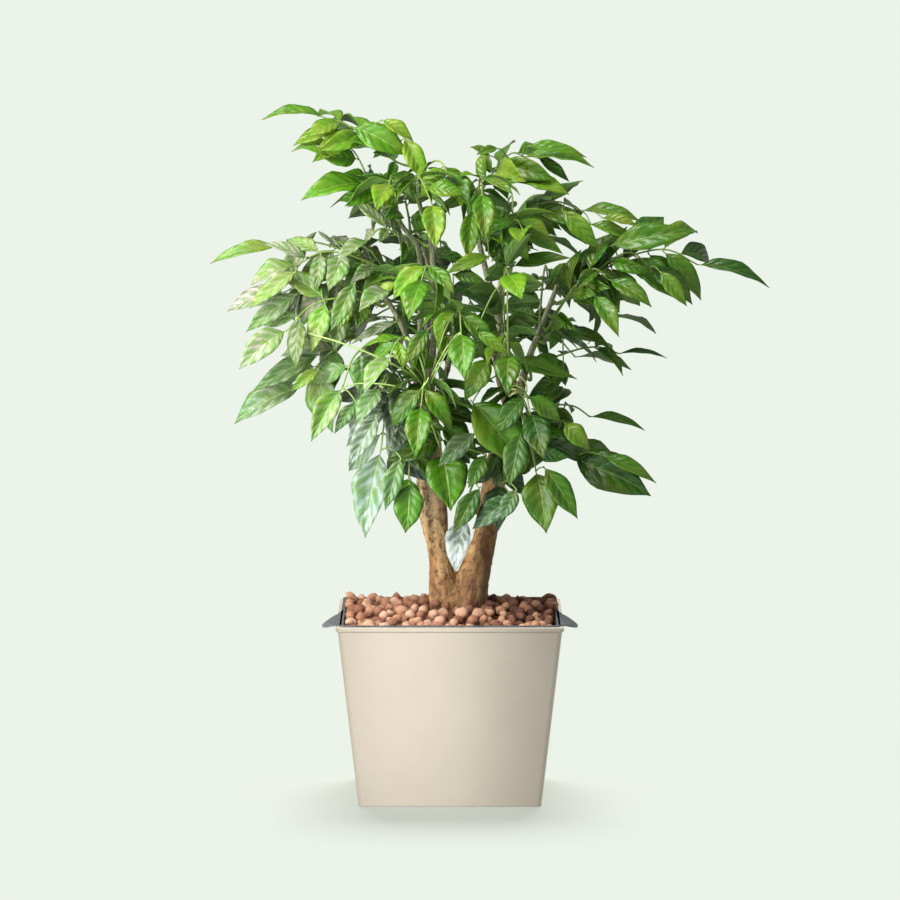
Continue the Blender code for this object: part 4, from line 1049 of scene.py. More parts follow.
def stalk_finish(name, low, high):
    finish = Finish(name, 0.45)
    place = finish.object_place()
    streaks = finish.noise(place, 9, 3)
    finish.set("Base Color", finish.ramp(streaks, [(0.3, low), (0.7, high)]))
    finish.set("Normal", finish.relief(finish.noise(place, 1.5, 2), 0.15, 0.5))
    return finish.material


def add_object(name, data):
    """An object in the scene for a mesh, a curve, a light or a camera."""
    obj = bpy.data.objects.new(name, data)
    bpy.context.scene.collection.objects.link(obj)
    return obj


def through(rows, steps):
    """A smooth run through rows of x, y, z and radius."""
    points = [Vector(row) for row in rows]
    ends = [points[0] * 2 - points[1], *points, points[-1] * 2 - points[-2]]
    run = []
    for a, b, c, d in zip(ends, ends[1:], ends[2:], ends[3:]):
        for step in range(steps):
            t = step / steps
            bent = (2 * a - 5 * b + 4 * c - d) * t * t + (3 * b - a - 3 * c + d) * t**3
            run.append((2 * b + (c - a) * t + bent) / 2)
    return run + [points[-1]]


def tubes(name, runs, roundness):
    """Stems with closed ends through runs of x, y, z and radius, as one mesh, with 4 + 2 * roundness sides."""
    curve = bpy.data.curves.new(name, "CURVE")
    curve.dimensions = "3D"
    curve.bevel_depth = MM
    curve.bevel_resolution = roundness
    curve.use_fill_caps = True
    for run in runs:
        spline = curve.splines.new("POLY")
        spline.points.add(len(run) - 1)
        for point, row in zip(spline.points, run):
            point.co = (*(Vector(row[:3]) * MM), 1)
            point.radius = row[3]
    guide = add_object(name, curve)
    graph = bpy.context.evaluated_depsgraph_get()
    mesh = bpy.data.meshes.new_from_object(guide.evaluated_get(graph))
    bpy.data.objects.remove(guide)
    bm = bmesh.new()
    bm.from_mesh(mesh)
    bmesh.ops.remove_doubles(bm, verts=bm.verts, dist=1e-6)
    bmesh.ops.recalc_face_normals(bm, faces=bm.faces)
    bm.to_mesh(mesh)
    bm.free()
    return mesh


def add_piece(name, mesh, slot, nodes=(), finishes=()):
    """A finished piece on the plant's one body, in place of its CAD nodes."""
    piece = add_object(name, mesh)
    if finishes:
        mesh.materials.clear()
        for finish in finishes:
            mesh.materials.append(finish)
    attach(piece, "root")
    if nodes:
        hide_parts(*nodes)
    return piece


def applied(obj):
    """The object's evaluated mesh in place of its own, with its modifiers gone."""
    graph = bpy.context.evaluated_depsgraph_get()
    mesh = bpy.data.meshes.new_from_object(obj.evaluated_get(graph))
    obj.modifiers.clear()
    obj.data = mesh
    return obj


def mesh_of(bm, name):
    """The bmesh as a mesh in metres, from millimetres."""
    bmesh.ops.scale(bm, vec=(MM, MM, MM), verts=bm.verts)
    mesh = bpy.data.meshes.new(name)
    bm.to_mesh(mesh)
    bm.free()
    return mesh


def joined(mesh, others):
    """The mesh with the others in it, each face with its own material's number."""
    bm = bmesh.new()
    for part in (mesh, *others):
        bm.from_mesh(part)
    bm.to_mesh(mesh)
    bm.free()
    return mesh


def leaf_light(place, rng):
    """How much painted light a leaflet has, from 0 in painted shade behind and low on the right, up to the top
    and the front.
    """
    rise = (place.z - CROWN_FOOT) / CROWN_RISE
    shade = RIGHT_SHADE * max(0, (place.x - RIGHT_FROM) / RIGHT_SPAN)
    shade += BEHIND_SHADE * max(0, (place.y - BEHIND_FROM) / BEHIND_SPAN)
    front = FRONT_LIGHT * max(0, -place.y / FRONT_SPAN)
    light = FOOT_LIGHT + RISE_LIGHT * rise + front - shade + rng.uniform(-LIGHT_SPREAD, LIGHT_SPREAD)
    return min(LIGHTEST, max(0, light))


def leaf_sheen(frond, place):
    """How much painted sheen the leaflets of a frond have at a place."""
    left, right = LEFT_SHEEN_ACROSS
    low, high = LEFT_SHEEN_HEIGHT
    on_left = LEFT_SHEEN if left < place.x < right and low < place.z < high else 0
    return max(on_left, SHEEN.get(frond, 0))


def leaf_sheet(bm, leaflet, frond, rng):
    """One leaflet: a grid bent to its place, with domed halves and a waved margin."""
    tone, bloom = (bm.verts.layers.float[layer] for layer in LEAF_LAYERS)
    broad = 1 if leaflet.way else END_WIDTH.get(frond, 1)
    leaflet = leaflet._replace(
        width=leaflet.width * broad * rng.uniform(*FINE_WIDTH),
        twist=leaflet.twist + math.radians(rng.uniform(-FINE_TWIST, FINE_TWIST)),
        fold=leaflet.fold * rng.uniform(*FINE_FOLD),
    )
    phase = rng.uniform(0, 2 * math.pi)
    waves = rng.uniform(*MARGIN_WAVES) * 2 * math.pi
    sway = RIB_SWAY * leaflet.length * rng.uniform(-1, 1)
    # Painted light and shade by the leaflet's place, and painted sheen, kept on its vertices
    light = leaf_light(leaflet.base, rng) + LIGHTER.get(frond, 0)
    sheen_share = leaf_sheen(frond, leaflet.base) * (rng.uniform(*SHEEN_VARIES) if leaflet.way else 1)
    grid = bmesh.ops.create_grid(bm, x_segments=LEAF_ACROSS, y_segments=LEAF_ALONG, size=1, calc_uvs=True)
    made = grid["verts"]
    for vert in made:
        across, step = vert.co.x, (vert.co.y + 1) / 2
        along = step - END_CROWDING * math.sin(2 * math.pi * step)
        width = half_width(leaflet, along)
        width *= 1 + MARGIN_SCALLOP * math.sin(phase + 2 * math.pi * SCALLOPS * along + across)
        reach = across * max(width, LEAF_NECK * (1 - along))
        dome = LEAF_DOME * width * 4 * abs(across) * (1 - abs(across))
        wave = MARGIN_WAVE * width * across**2 * math.sin(phase + waves * along + (across > 0) * WAVE_LAG)
        swayed = reach + sway * math.sin(2 * math.pi * along) * (1 - abs(across))
        vert.co = bent_place(leaflet, along, swayed, dome + wave)
        vert[tone] = light
        vert[bloom] = sheen_share
    bmesh.ops.remove_doubles(bm, verts=made, dist=LEAF_MERGE)


def leaf_mesh(name, leaflets, rng):
    """The frond's leaflets as thin sheets, glossy above and matte below."""
    bm = bmesh.new()
    bm.loops.layers.uv.new("UVMap")
    for layer in LEAF_LAYERS:
        bm.verts.layers.float.new(layer)
    for leaflet in leaflets:
        leaf_sheet(bm, leaflet, name.removeprefix(FOLIAGE), rng)
    guide = add_object(name, mesh_of(bm, name))
    thicken = guide.modifiers.new("thickness", "SOLIDIFY")
    thicken.thickness = LEAF_THICKNESS * MM
    thicken.offset = 0
    thicken.material_offset = 1
    for finish in (LEAF_TOP, LEAF_UNDER, STALK_GREEN):
        guide.data.materials.append(finish)
    mesh = applied(guide).data
    bpy.data.objects.remove(guide)
    return mesh


def stalk_run(placed):
    """The main stalk from inside its limb to its end leaflet's rib."""
    places = placed.stalk
    inward = (places[0] - places[1]).normalized() * STALK_SUNK
    total = stalk_length(places)
    rows, gone = [(*(places[0] + inward), STALK_ROOT * STALK_HEEL)], 0.0
    for index, place in enumerate(places):
        gone += (place - places[index - 1]).length if index else 0
        radius = STALK_ROOT + (STALK_TIP - STALK_ROOT) * gone / total
        rows.append((*place, radius * (STALK_SWELL if index < 2 else 1)))
    return through(rows, STALK_STEPS)


def petiolule(start, leaflet):
    """The stalk from the frond's own to a leaflet's rib, arched where it is a long one."""
    rib = blade_point(leaflet, RIB_AT, 0)
    neck = blade_point(leaflet, NECK_AT, 0)
    apart = (neck - start).length
    rows = [(*start, PETIOLULE * PETIOLULE_FOOT), (*neck, PETIOLULE), (*rib, PETIOLULE * PETIOLULE_END)]
    if apart < STRAIGHT_STEM:
        return rows
    middle = (start + neck) / 2 + UP * apart * PETIOLULE_ARCH
    return through([rows[0], (*middle, PETIOLULE * PETIOLULE_MIDDLE), *rows[1:]], PETIOLULE_STEPS)


def nearest(run, place):
    return min((Vector(row[:3]) for row in run), key=lambda point: (point - place).length)


def inner_leaflets(placed, clearance, windows):
    """More leaflets on the inner half of a frond's stalk, wherever they fit between what stands already."""
    rng = random.Random("inner " + placed.name)
    length = stalk_length(placed.stalk)
    size = placed.leaflets[0].length
    added = []
    if length < SHORTEST_STALK:
        return added
    for share in INNER_SHARES:
        centre, forward, upward = along_stalk(placed.stalk, placed.up, share * length)
        for way in (-1, 1):
            side = forward.cross(upward) * way
            angle = math.radians(SIDE_ANGLE + rng.uniform(-INNER_TURN, INNER_TURN))
            aim = forward * math.cos(angle) + side * math.sin(angle) - UP * rng.uniform(0, INNER_HANG)
            heading, normal = leaf_frame(aim, upward + side * rng.uniform(*LEANS))
            leaf = size * INNER_SIZE * rng.uniform(*INNER_SIZES)
            bend = math.radians(BEND) * rng.uniform(*INNER_BENDS)
            twist = math.radians(rng.uniform(-TWIST, TWIST))
            base = centre + side * STALK_TIP
            width = leaf * WIDTH_SHARE
            distance = share * length
            made = Leaflet(base, heading, normal, leaf, width, bend, math.radians(FOLD), twist, distance, way)
            made = fitted(made, clearance, windows)
            if made:
                added.append(made)
    return added


def fitted(leaflet, clearance, windows):
    """The leaflet turned or made smaller until it is clear of the rest, or None."""
    for tried in tries(leaflet):
        outer = test_blade(tried, BLADE + CLEAR, ROWS_TEST, 2 * OWN_START)
        if clearance.free(*outer) and windows.free(*outer):
            clearance.add(*outer)
            return tried
    return None


def sprig_leaflet(sprig, clearance):
    """A leaflet between two places, moved forwards or back until it is clear of the rest, or None."""
    face = math.radians(sprig.face)
    bend = math.radians(SPRIG_BEND)
    for shift in SPRIG_SHIFTS:
        base, tip = (Vector(place) + FRONT * shift for place in (sprig.base, sprig.tip))
        heading, normal = leaf_frame(tip - base, UP * math.cos(face) + FRONT * math.sin(face))
        heading, normal = turned(heading, normal, 0, SPRIG_BEND / 2)
        length = (tip - base).length * bend / 2 / math.sin(bend / 2)
        made = Leaflet(base, heading, normal, length, length * sprig.width, bend, math.radians(FOLD), 0, 0, 1)
        outer = test_blade(made, BLADE + CLEAR, ROWS_TEST, 2 * OWN_START)
        if clearance.free(*outer):
            clearance.add(*outer)
            return made
    return None


def long_stalks(placed, clearance):
    """Thin stalks from the tops of the leaders to leaflets at the front, wherever the way is clear."""
    rng = random.Random(LONG_STALK_SEED)
    leaflets = [leaflet for frond in placed for leaflet in frond.leaflets if leaflet.base.y < STALK_FRONT]
    ends = [leaflet for leaflet in leaflets if leaflet.base.z < STALK_TOP + max(0, leaflet.base.x)]
    runs = []
    for _ in range(LONG_STALKS):
        leaflet = rng.choice(ends)
        hub = min((Vector(place) for place in STALK_HUBS), key=lambda place: (place - leaflet.base).length)
        end = blade_point(leaflet, NECK_AT, 0)
        rise = UP * rng.uniform(0, LONG_STALK_RISE) + FRONT * rng.uniform(*LONG_STALK_FORWARD)
        lead = end - leaflet.heading * LONG_STALK_LEAD + UP * rng.uniform(0, LONG_STALK_DIP)
        curve = bezier(hub, hub + rise, lead, end, LONG_STALK_POINTS)
        tested = curve[-1 - LONG_STALK_TESTED:-1]
        if clearance.free(*prism(tested, [PETIOLULE] * len(tested), LONG_STALK_TEST_SIDES)):
            radii = [PETIOLULE * (LONG_STALK_FOOT - index / LONG_STALK_TAPER) for index in range(len(curve))]
            runs.append([(*place, radius) for place, radius in zip(curve, radii)])
    mesh = tubes("long_stalks", runs, STALK_ROUNDNESS)
    mesh.shade_smooth()
    pale = stalk_finish("pale_stalk", (0.26, 0.42, 0.07), (0.5, 0.64, 0.24))
    add_piece("long_stalks", mesh, "leaf_light", (), [pale])


def fine_frond(placed, added):
    """A CAD frond's fine piece: its own leaflets and the added ones on a round tapering stalk."""
    name = FOLIAGE + placed.name
    rng = random.Random(name)
    leaflets = placed.leaflets + added
    mesh = leaf_mesh(name, leaflets, rng)
    run = stalk_run(placed)
    stems = [run] + [petiolule(nearest(run + LIMB_MIDDLES, leaflet.base), leaflet) for leaflet in leaflets]
    stalk = tubes(name, stems, STALK_ROUNDNESS)
    for face in stalk.polygons:
        face.material_index = 2
    joined(mesh, [stalk])
    mesh.shade_smooth()
    add_piece(name, mesh, leaf_tone(placed), ["frond_" + placed.name])


# Fine planter and liner
CORNER_STEPS = 8
PLANTER_EDGE = 1.5
EDGE_STEPS = 4
CREASE = 40
PLANTER_CREASE = 50
CORNER_TURN = 0.1
LIP_ACROSS = 12
LIP_ALONG = 28

# Fine trunk
BARK_VOXEL = 1.4
BARK_SMOOTHING = 3
LIMB_STEPS = 6
LIMB_ROUNDNESS = 6
KNOBS = 26
KNOB_SEED = 9
KNOB_STRETCH = (0.1, 0.95)
KNOB_AIM = (-1, 1), (-1, 0.4)
KNOB_SIZES = (0.22, 0.42)
KNOB_OUT = 0.86
KNOB_SQUASH = 0.8
# The bark's relief fades out over BARK_FADE below BARK_TOP. Its forms are given by how wide and how tall they
# are, and how far they stand out.
BARK_TOP = 400
BARK_FADE = 30
SHOOT_RELIEF = 0.06
RIDGE_WIDE, RIDGE_TALL, RIDGE_DEPTH = 7, 34, 0.95
RING_WIDE, RING_TALL, RING_DEPTH = 26, 5, 0.5
RING_START = 40
GRAIN_SIZE, GRAIN_DEPTH = 3.2, 0.35

# Bed of clay balls
BALL_RADIUS = (4.2, 7.4)
BALLS = 1700
BALL_TRIES = 12
BALL_SEED = 12
BED_TOP = 185.5
BALL_PLAY = 1
BALL_SHOWS = 0.6
BALL_SQUASH = (0.82, 1), (0.72, 0.96)
BALL_ROUGHNESS = 0.38
BALL_LUMPS = 0.8
BALL_NOISE_STEP = 9
BALL_LIGHT = 0.1
BALL_SHADE = 0.75
# The bed heaps up round the trunk and a little to the back and to the sides, where it spills onto the flange
TRUNK_CLEAR = 0.96
HEAP, HEAP_START, HEAP_FALL = 14, 1.2, 0.35
BACK_HEAP = 2.5
SIDE_HEAP, SIDE_FROM, SIDE_SPAN = 3, 0.85, 0.15
SPILL = 5

# Studio
CAMERA_RISE = 6
CAMERA_AWAY = 5500
FRAME_WIDTH = 900
FRAME_CENTRE = 346
FLOOR_RADIUS = 60000
FLOOR_SIDES = 64
FLOOR_COLOUR = (0.42, 0.445, 0.405)
FLOOR_GLOW = (0.84, 0.89, 0.81)
FLOOR_GLOW_STRENGTH = 0.467
WORLD_COLOUR = (0.9, 0.94, 0.94)
WORLD_STRENGTH = 0.36
# Broad soft suns. Each comes from turn degrees to the right of the front and rise degrees above the floor.
Sun = namedtuple("Sun", "energy spread colour turn rise")
SUNS = {
    "key": Sun(2.8, 30, (1, 0.98, 0.92), -50, 60),
    "top_light": Sun(1.2, 30, (1, 0.98, 0.92), 0, 90),
    "left_fill": Sun(1.8, 30, (1, 0.98, 0.94), -90, 20),
    "right_fill": Sun(1.5, 30, (1, 0.98, 0.94), 108, 20),
    "back_light": Sun(2.75, 40, (1, 1, 1), 180, 58),
    "trunk_light": Sun(1.7, 20, (1, 0.96, 0.88), -80, 14),
    "leaf_fill": Sun(1.0, 60, (1, 0.99, 0.96), -35, 25),
}
# Upright panels of light: the softbox stands close on the left, where its light glances off the leaves, and
# the strip close in front of the planter, so that its light fades to both sides of its front
Panel = namedtuple("Panel", "size place aim power colour mirrored")
PANELS = {
    "softbox": Panel((260, 900), (-420, -400, 430), (20, 0, 360), 5.5, (0.98, 0.98, 0.94), True),
    "strip": Panel((160, 420), (-45, -225, 92), (-45, 0, 92), 0.49, (1, 1, 1), False),
}


def trunk_shape():
    """The stump, leaders, stubs and shoots as overlapping tubes, with small burls, before they are fused."""
    limbs = [STUMP, LEFT_LEADER, RIGHT_LEADER, SIDE_STEM, CUT_STUB, *SHOOTS.values()]
    bm = bmesh.new()
    for limb in limbs:
        mesh = tubes("limb", [through(limb, LIMB_STEPS)], LIMB_ROUNDNESS)
        if limb is STUMP:
            mesh.transform(Matrix.Diagonal((1, STUMP_DEPTH, 1, 1)))
        bm.from_mesh(mesh)
    rng = random.Random(KNOB_SEED)
    for _ in range(KNOBS):
        limb = rng.choice((LEFT_LEADER, RIGHT_LEADER, SIDE_STEM, STUMP))
        centre, along, thick = limb_point(limb, rng.uniform(*KNOB_STRETCH))
        out = along.cross(Vector((*(rng.uniform(*span) for span in KNOB_AIM), 0))).normalized()
        radius = rng.uniform(*KNOB_SIZES) * thick
        spot = centre + out * thick * KNOB_OUT
        if limb is STUMP:
            spot.y *= STUMP_DEPTH
        place = Matrix.Translation(spot * MM) @ Matrix.Diagonal((1, 1, KNOB_SQUASH, 1))
        bmesh.ops.create_icosphere(bm, subdivisions=2, radius=radius * MM, matrix=place)
    mesh = bpy.data.meshes.new("trunk")
    bm.to_mesh(mesh)
    bm.free()
    return mesh


def bark_relief(place):
    """How far the bark stands out at a place in millimetres: ridges up the wood, rings round it, and a grain."""
    woody = min(1, max(SHOOT_RELIEF, (BARK_TOP - place.z) / BARK_FADE))
    ridges = noise.noise(Vector((place.x / RIDGE_WIDE, place.y / RIDGE_WIDE, place.z / RIDGE_TALL)))
    rings = noise.noise(Vector((place.x / RING_WIDE, place.y / RING_WIDE, place.z / RING_TALL + RING_START)))
    grain = noise.noise(place / GRAIN_SIZE)
    return woody * (RIDGE_DEPTH * ridges + RING_DEPTH * rings + GRAIN_DEPTH * grain)


def make_trunk():
    guide = add_object("trunk_guide", trunk_shape())
    remesh = guide.modifiers.new("skin", "REMESH")
    remesh.mode = "VOXEL"
    remesh.voxel_size = BARK_VOXEL * MM
    smooth = guide.modifiers.new("smooth", "SMOOTH")
    smooth.factor = 0.5
    smooth.iterations = BARK_SMOOTHING
    mesh = applied(guide).data
    bpy.data.objects.remove(guide)
    bm = bmesh.new()
    bm.from_mesh(mesh)
    bm.normal_update()
    moves = [(vert, vert.normal * bark_relief(vert.co / MM) * MM) for vert in bm.verts]
    for vert, move in moves:
        vert.co += move
    bm.to_mesh(mesh)
    bm.free()
    mesh.shade_smooth()
    add_piece("woody_trunk", mesh, "trunk", ["trunk"], [bark()])


def bark():
    """Tan bark: painted light to the left and painted shade to the right, darker at its foot and greenish up the
    shoots.
    """
    finish = Finish("tan_bark", 0.75)
    place = finish.object_place()
    upright = finish.object_place((1, 1, 0.35))
    blotches = finish.noise(upright, 16, 5, 0.6)
    tan = finish.ramp(blotches, [
        (0.3, (0.12, 0.05, 0.02)), (0.42, (0.36, 0.17, 0.06)), (0.53, (0.6, 0.34, 0.13)),
        (0.66, (0.88, 0.6, 0.28)),
    ])
    flecks = finish.noise(finish.object_place((1, 1, 0.7)), 5, 5, 0.72)
    axes = finish.add("ShaderNodeSeparateXYZ", {"Vector": place}).outputs
    height = axes["Z"]
    # Painted light on the left side and painted shade on the right, by the x coordinate
    painted_light_mask = finish.times(finish.spread(axes["X"], 0.008, -0.016), finish.spread(height, 0.24, 0.3))
    lit_left = finish.mix(finish.times(painted_light_mask, 0.4), tan, (0.95, 0.8, 0.55))
    shaded_right = finish.mix(finish.spread(axes["X"], 0.012, 0.036, 0, 0.42), lit_left, (0.2, 0.12, 0.05))
    # Darker towards the foot
    darker_foot = finish.mix(finish.spread(height, 0.2, 0.25, 0.5, 0), shaded_right, (0.2, 0.1, 0.04))
    flecked = finish.mix(finish.spread(flecks, 0.47, 0.62, 0, 0.88), darker_foot, (0.12, 0.055, 0.03))
    wander = finish.plus(height, finish.times(blotches, 0.05))
    shoot = finish.ramp(finish.noise(upright, 7, 4), [(0.35, (0.15, 0.17, 0.08)), (0.65, (0.42, 0.42, 0.28))])
    greened = finish.mix(finish.spread(wander, 0.405, 0.47), flecked, shoot)
    finish.set("Base Color", greened)
    cracks = finish.plus(finish.noise(upright, 3, 5, 0.7), finish.times(blotches, 0.6))
    finish.set("Normal", finish.relief(cracks, 2.4, 0.9))
    return finish.material


def resting_height(x, y, radius, cells, reach):
    """How high a ball rests over the balls below it, or on the soil."""
    column, row = int(x // reach), int(y // reach)
    level = SOIL_TOP + GAP + radius
    for near_column in (column - 1, column, column + 1):
        for near_row in (row - 1, row, row + 1):
            for other in cells[near_column, near_row]:
                apart = math.hypot(x - other[0], y - other[1])
                touch = radius + other[3]
                if apart < touch:
                    level = max(level, other[2] + math.sqrt(touch * touch - apart * apart))
    return level


def settled_balls():
    """Clay balls dropped one after another, each into the lowest of a few spots: x, y, z and radius."""
    rng = random.Random(BALL_SEED)
    edge = liner_sides()[1] / 2 - LINER_WALL - BALL_PLAY
    reach = 2 * BALL_RADIUS[1]
    cells, balls = defaultdict(list), []
    for _ in range(BALLS):
        radius = rng.triangular(*BALL_RADIUS)
        best = None
        for _ in range(BALL_TRIES):
            x, y = (rng.uniform(-reaching, reaching) for reaching in (edge - radius + SPILL, edge - radius))
            off_trunk = math.hypot((x - STUMP[0][0]) / (SOIL_HOLE + radius), y / (SOIL_HOLE_DEPTH + radius))
            if off_trunk < TRUNK_CLEAR:
                continue
            heap = HEAP * max(0, HEAP_START - off_trunk * HEAP_FALL) + BACK_HEAP * max(0, y / edge)
            heap += SIDE_HEAP * max(0, abs(x) / edge - SIDE_FROM) / SIDE_SPAN
            z = resting_height(x, y, radius, cells, reach)
            off_flange = max(0, edge + BALL_PLAY - abs(x))
            if off_flange < radius:
                flange = POT_HEIGHT + GAP + LINER_WALL
                z = max(z, flange + math.sqrt(radius * radius - off_flange * off_flange))
            if z + radius * BALL_SHOWS < BED_TOP + heap and (best is None or z - heap < best[2] - best[4]):
                best = (x, y, z, radius, heap)
        if best:
            ball = best[:4]
            balls.append(ball)
            cells[int(ball[0] // reach), int(ball[1] // reach)].append(ball)
    return balls


def make_clay_balls():
    rng = random.Random(BALL_SEED + 1)
    bm = bmesh.new()
    tone = bm.verts.layers.float.new("tone")
    for x, y, z, radius in settled_balls():
        # Painted shade: balls darker towards the right, added to their random tone
        light = rng.random() + BALL_LIGHT - BALL_SHADE * max(0, x / POT_BODY_TOP)
        squash = Matrix.Diagonal((1, *(rng.uniform(*span) for span in BALL_SQUASH), 1))
        axis = Vector((rng.uniform(-1, 1), rng.uniform(-1, 1), rng.uniform(-1, 1))).normalized()
        spin = Matrix.Rotation(rng.uniform(0, math.pi), 4, axis)
        place = Matrix.Translation((x, y, z)) @ spin @ squash
        made = bmesh.ops.create_icosphere(bm, subdivisions=2, radius=radius, matrix=place)["verts"]
        for vert in made:
            bump = noise.noise(vert.co / (radius * BALL_LUMPS) + axis * BALL_NOISE_STEP)
            vert.co += (vert.co - Vector((x, y, z))) * bump * BALL_ROUGHNESS
            vert[tone] = light
    mesh = mesh_of(bm, "clay_balls")
    mesh.shade_smooth()
    add_piece("clay_balls", mesh, "clay_pebbles", ["clay_pebbles"], [fired_clay()])


def fired_clay():
    finish = Finish("fired_clay", 0.85)
    place = finish.object_place()
    # The tone layer holds random tone with painted shade to the right
    tone = finish.attribute("tone")
    mottle = finish.noise(place, 5, 3)
    shade = finish.plus(finish.times(tone, 0.7), finish.times(mottle, 0.45))
    colour = finish.ramp(shade, [
        (0.15, (0.16, 0.06, 0.04)), (0.42, (0.4, 0.17, 0.1)), (0.68, (0.64, 0.32, 0.19)),
        (0.95, (0.86, 0.52, 0.36)),
    ])
    pits = finish.noise(place, 1.1, 3, 0.7)
    finish.set("Base Color", finish.mix(finish.spread(pits, 0.58, 0.72, 0, 0.5), colour, (0.14, 0.05, 0.035)))
    finish.set("Normal", finish.relief(pits, 1.8, 1.0))
    return finish.material


def tapered_box(bm, bottom, top, low, high, corner):
    """A square block with rounded upright edges. Returns its top face."""
    bmesh.ops.create_cube(bm, size=1)
    for vert in bm.verts:
        side = top if vert.co.z > 0 else bottom
        vert.co = (vert.co.x * side, vert.co.y * side, high if vert.co.z > 0 else low)
    upright = [edge for edge in bm.edges if abs(edge.verts[0].co.z - edge.verts[1].co.z) > 1]
    bmesh.ops.bevel(
        bm, geom=upright, offset=corner, affect="EDGES", segments=CORNER_STEPS, profile=0.5, material=-1
    )
    return max(bm.faces, key=lambda face: face.calc_center_median().z)


def step_face(bm, face, share, height):
    """Extrudes a level face, scales it about the axis and moves it to a height."""
    face = bmesh.ops.extrude_discrete_faces(bm, faces=[face])["faces"][0]
    for vert in face.verts:
        vert.co = (vert.co.x * share, vert.co.y * share, height)
    return face


def make_planter():
    bm = bmesh.new()
    top = tapered_box(bm, POT_BASE, POT_BODY_TOP, 0, POT_HEIGHT - POT_LIP_HEIGHT, POT_CORNER)
    top = step_face(bm, top, POT_RIM / POT_BODY_TOP, POT_HEIGHT - POT_LIP_HEIGHT)
    top = step_face(bm, top, 1, POT_HEIGHT)
    top = step_face(bm, top, POT_MOUTH / POT_RIM, POT_HEIGHT)
    step_face(bm, top, POT_INNER_BASE / POT_MOUTH, POT_FLOOR)
    sharp = [edge for edge in bm.edges if edge.calc_face_angle() > math.radians(CREASE)]
    bevel = bmesh.ops.bevel(
        bm, geom=sharp, offset=PLANTER_EDGE, affect="EDGES", segments=EDGE_STEPS, profile=0.5, material=-1
    )
    bm.normal_update()
    # Painted highlight: the bevels and the rounded upright corners take the lighter edge material
    corners = [face for face in bm.faces if min(abs(face.normal.x), abs(face.normal.y)) > CORNER_TURN]
    for face in bevel["faces"] + corners:
        face.material_index = 1
    mesh = mesh_of(bm, "planter")
    mesh.shade_smooth()
    mesh.set_sharp_from_angle(angle=math.radians(PLANTER_CREASE))
    # The second finish is the painted edge highlight
    return add_piece("planter", mesh, "pot", ["pot"], [
        cream_glaze("cream_glaze", (0.515, 0.455, 0.362), (0.535, 0.475, 0.38)),
        cream_glaze("edge_glaze", (0.7, 0.64, 0.54), (0.74, 0.68, 0.58)),
    ])


def cream_glaze(name, dull, clear):
    finish = Finish(name, 0.36)
    place = finish.object_place()
    cloud = finish.noise(place, 60, 3)
    cream = finish.mix(finish.spread(cloud, 0.35, 0.65), dull, clear)
    specks = finish.noise(place, 1.2, 2, 0.8)
    finish.set("Base Color", finish.mix(finish.spread(specks, 0.66, 0.74, 0, 0.25), cream, (0.4, 0.35, 0.27)))
    finish.set("Roughness", finish.spread(cloud, 0.3, 0.7, 0.3, 0.42))
    finish.set("Normal", finish.relief(finish.noise(place, 2.4, 2), 0.12, 0.4))
    return finish.material


def side_lip(side):
    """A thin strip that reaches out over the planter's rim, near the front, and curves down outside it."""
    bm = bmesh.new()
    bmesh.ops.create_grid(bm, x_segments=LIP_ACROSS, y_segments=LIP_ALONG, size=1)
    bmesh.ops.solidify(bm, geom=bm.faces[:], thickness=LINER_WALL)
    lowest = min(vert.co.z for vert in bm.verts)
    flange, rim = LINER_FLANGE / 2 - LIP_OVERLAP, POT_RIM / 2 + LIP_OFF_RIM
    columns = [(flange, 0, 0), (rim, 0, 0), (rim, *LIP_CURVE), (rim, 1, 1)]
    for vert in bm.verts:
        column = (vert.co.x + 1) / 2 * (len(columns) - 1)
        inner = min(int(column), len(columns) - 2)
        share = column - inner
        start, reach, drop = (a + (b - a) * share for a, b in zip(columns[inner], columns[inner + 1]))
        length = LIP_LENGTHS[inner] + (LIP_LENGTHS[inner + 1] - LIP_LENGTHS[inner]) * share
        bulge = 1 - vert.co.y**2
        across = start + reach * (LIP_REACH * bulge + LIP_END)
        along = LIP_FRONT + (vert.co.y + 1) / 2 * length
        level = POT_HEIGHT + GAP + vert.co.z - lowest
        vert.co = (side * across, along, level - drop * LIP_DROP * bulge)
    bmesh.ops.recalc_face_normals(bm, faces=bm.faces)
    return mesh_of(bm, "side_lip")


def liner_sides():
    """Outer widths of the liner at its floor and under its flange."""
    return POT_INNER_BASE - 2 * LINER_PLAY, POT_MOUTH - 2 * LINER_PLAY


def make_nursery_liner():
    bottom, top = liner_sides()
    bm = bmesh.new()
    under_flange = POT_HEIGHT + GAP
    face = tapered_box(bm, bottom, top, LINER_FLOOR, under_flange, POT_CORNER)
    face = step_face(bm, face, LINER_FLANGE / top, under_flange)
    face = step_face(bm, face, 1, under_flange + LINER_WALL)
    face = step_face(bm, face, (top - 2 * LINER_WALL) / LINER_FLANGE, under_flange + LINER_WALL)
    step_face(bm, face, (bottom - 2 * LINER_WALL) / (top - 2 * LINER_WALL), LINER_FLOOR + LINER_WALL)
    mesh = joined(mesh_of(bm, "nursery_liner"), [side_lip(side) for side in (-1, 1)])
    mesh.shade_smooth()
    mesh.set_sharp_from_angle(angle=math.radians(CREASE))
    add_piece("nursery_liner", mesh, "liner", ["liner"], [dark_plastic()])


def dark_plastic():
    finish = Finish("dark_plastic", 0.38)
    place = finish.object_place()
    scuffs = finish.noise(place, 8, 4, 0.7)
    finish.set("Base Color", finish.ramp(scuffs, [(0.35, (0.07, 0.075, 0.085)), (0.7, (0.16, 0.168, 0.18))]))
    finish.set("Roughness", finish.spread(scuffs, 0.3, 0.7, 0.3, 0.5))
    finish.set("Normal", finish.relief(finish.noise(place, 1.5, 2), 0.2, 0.4))
    return finish.material


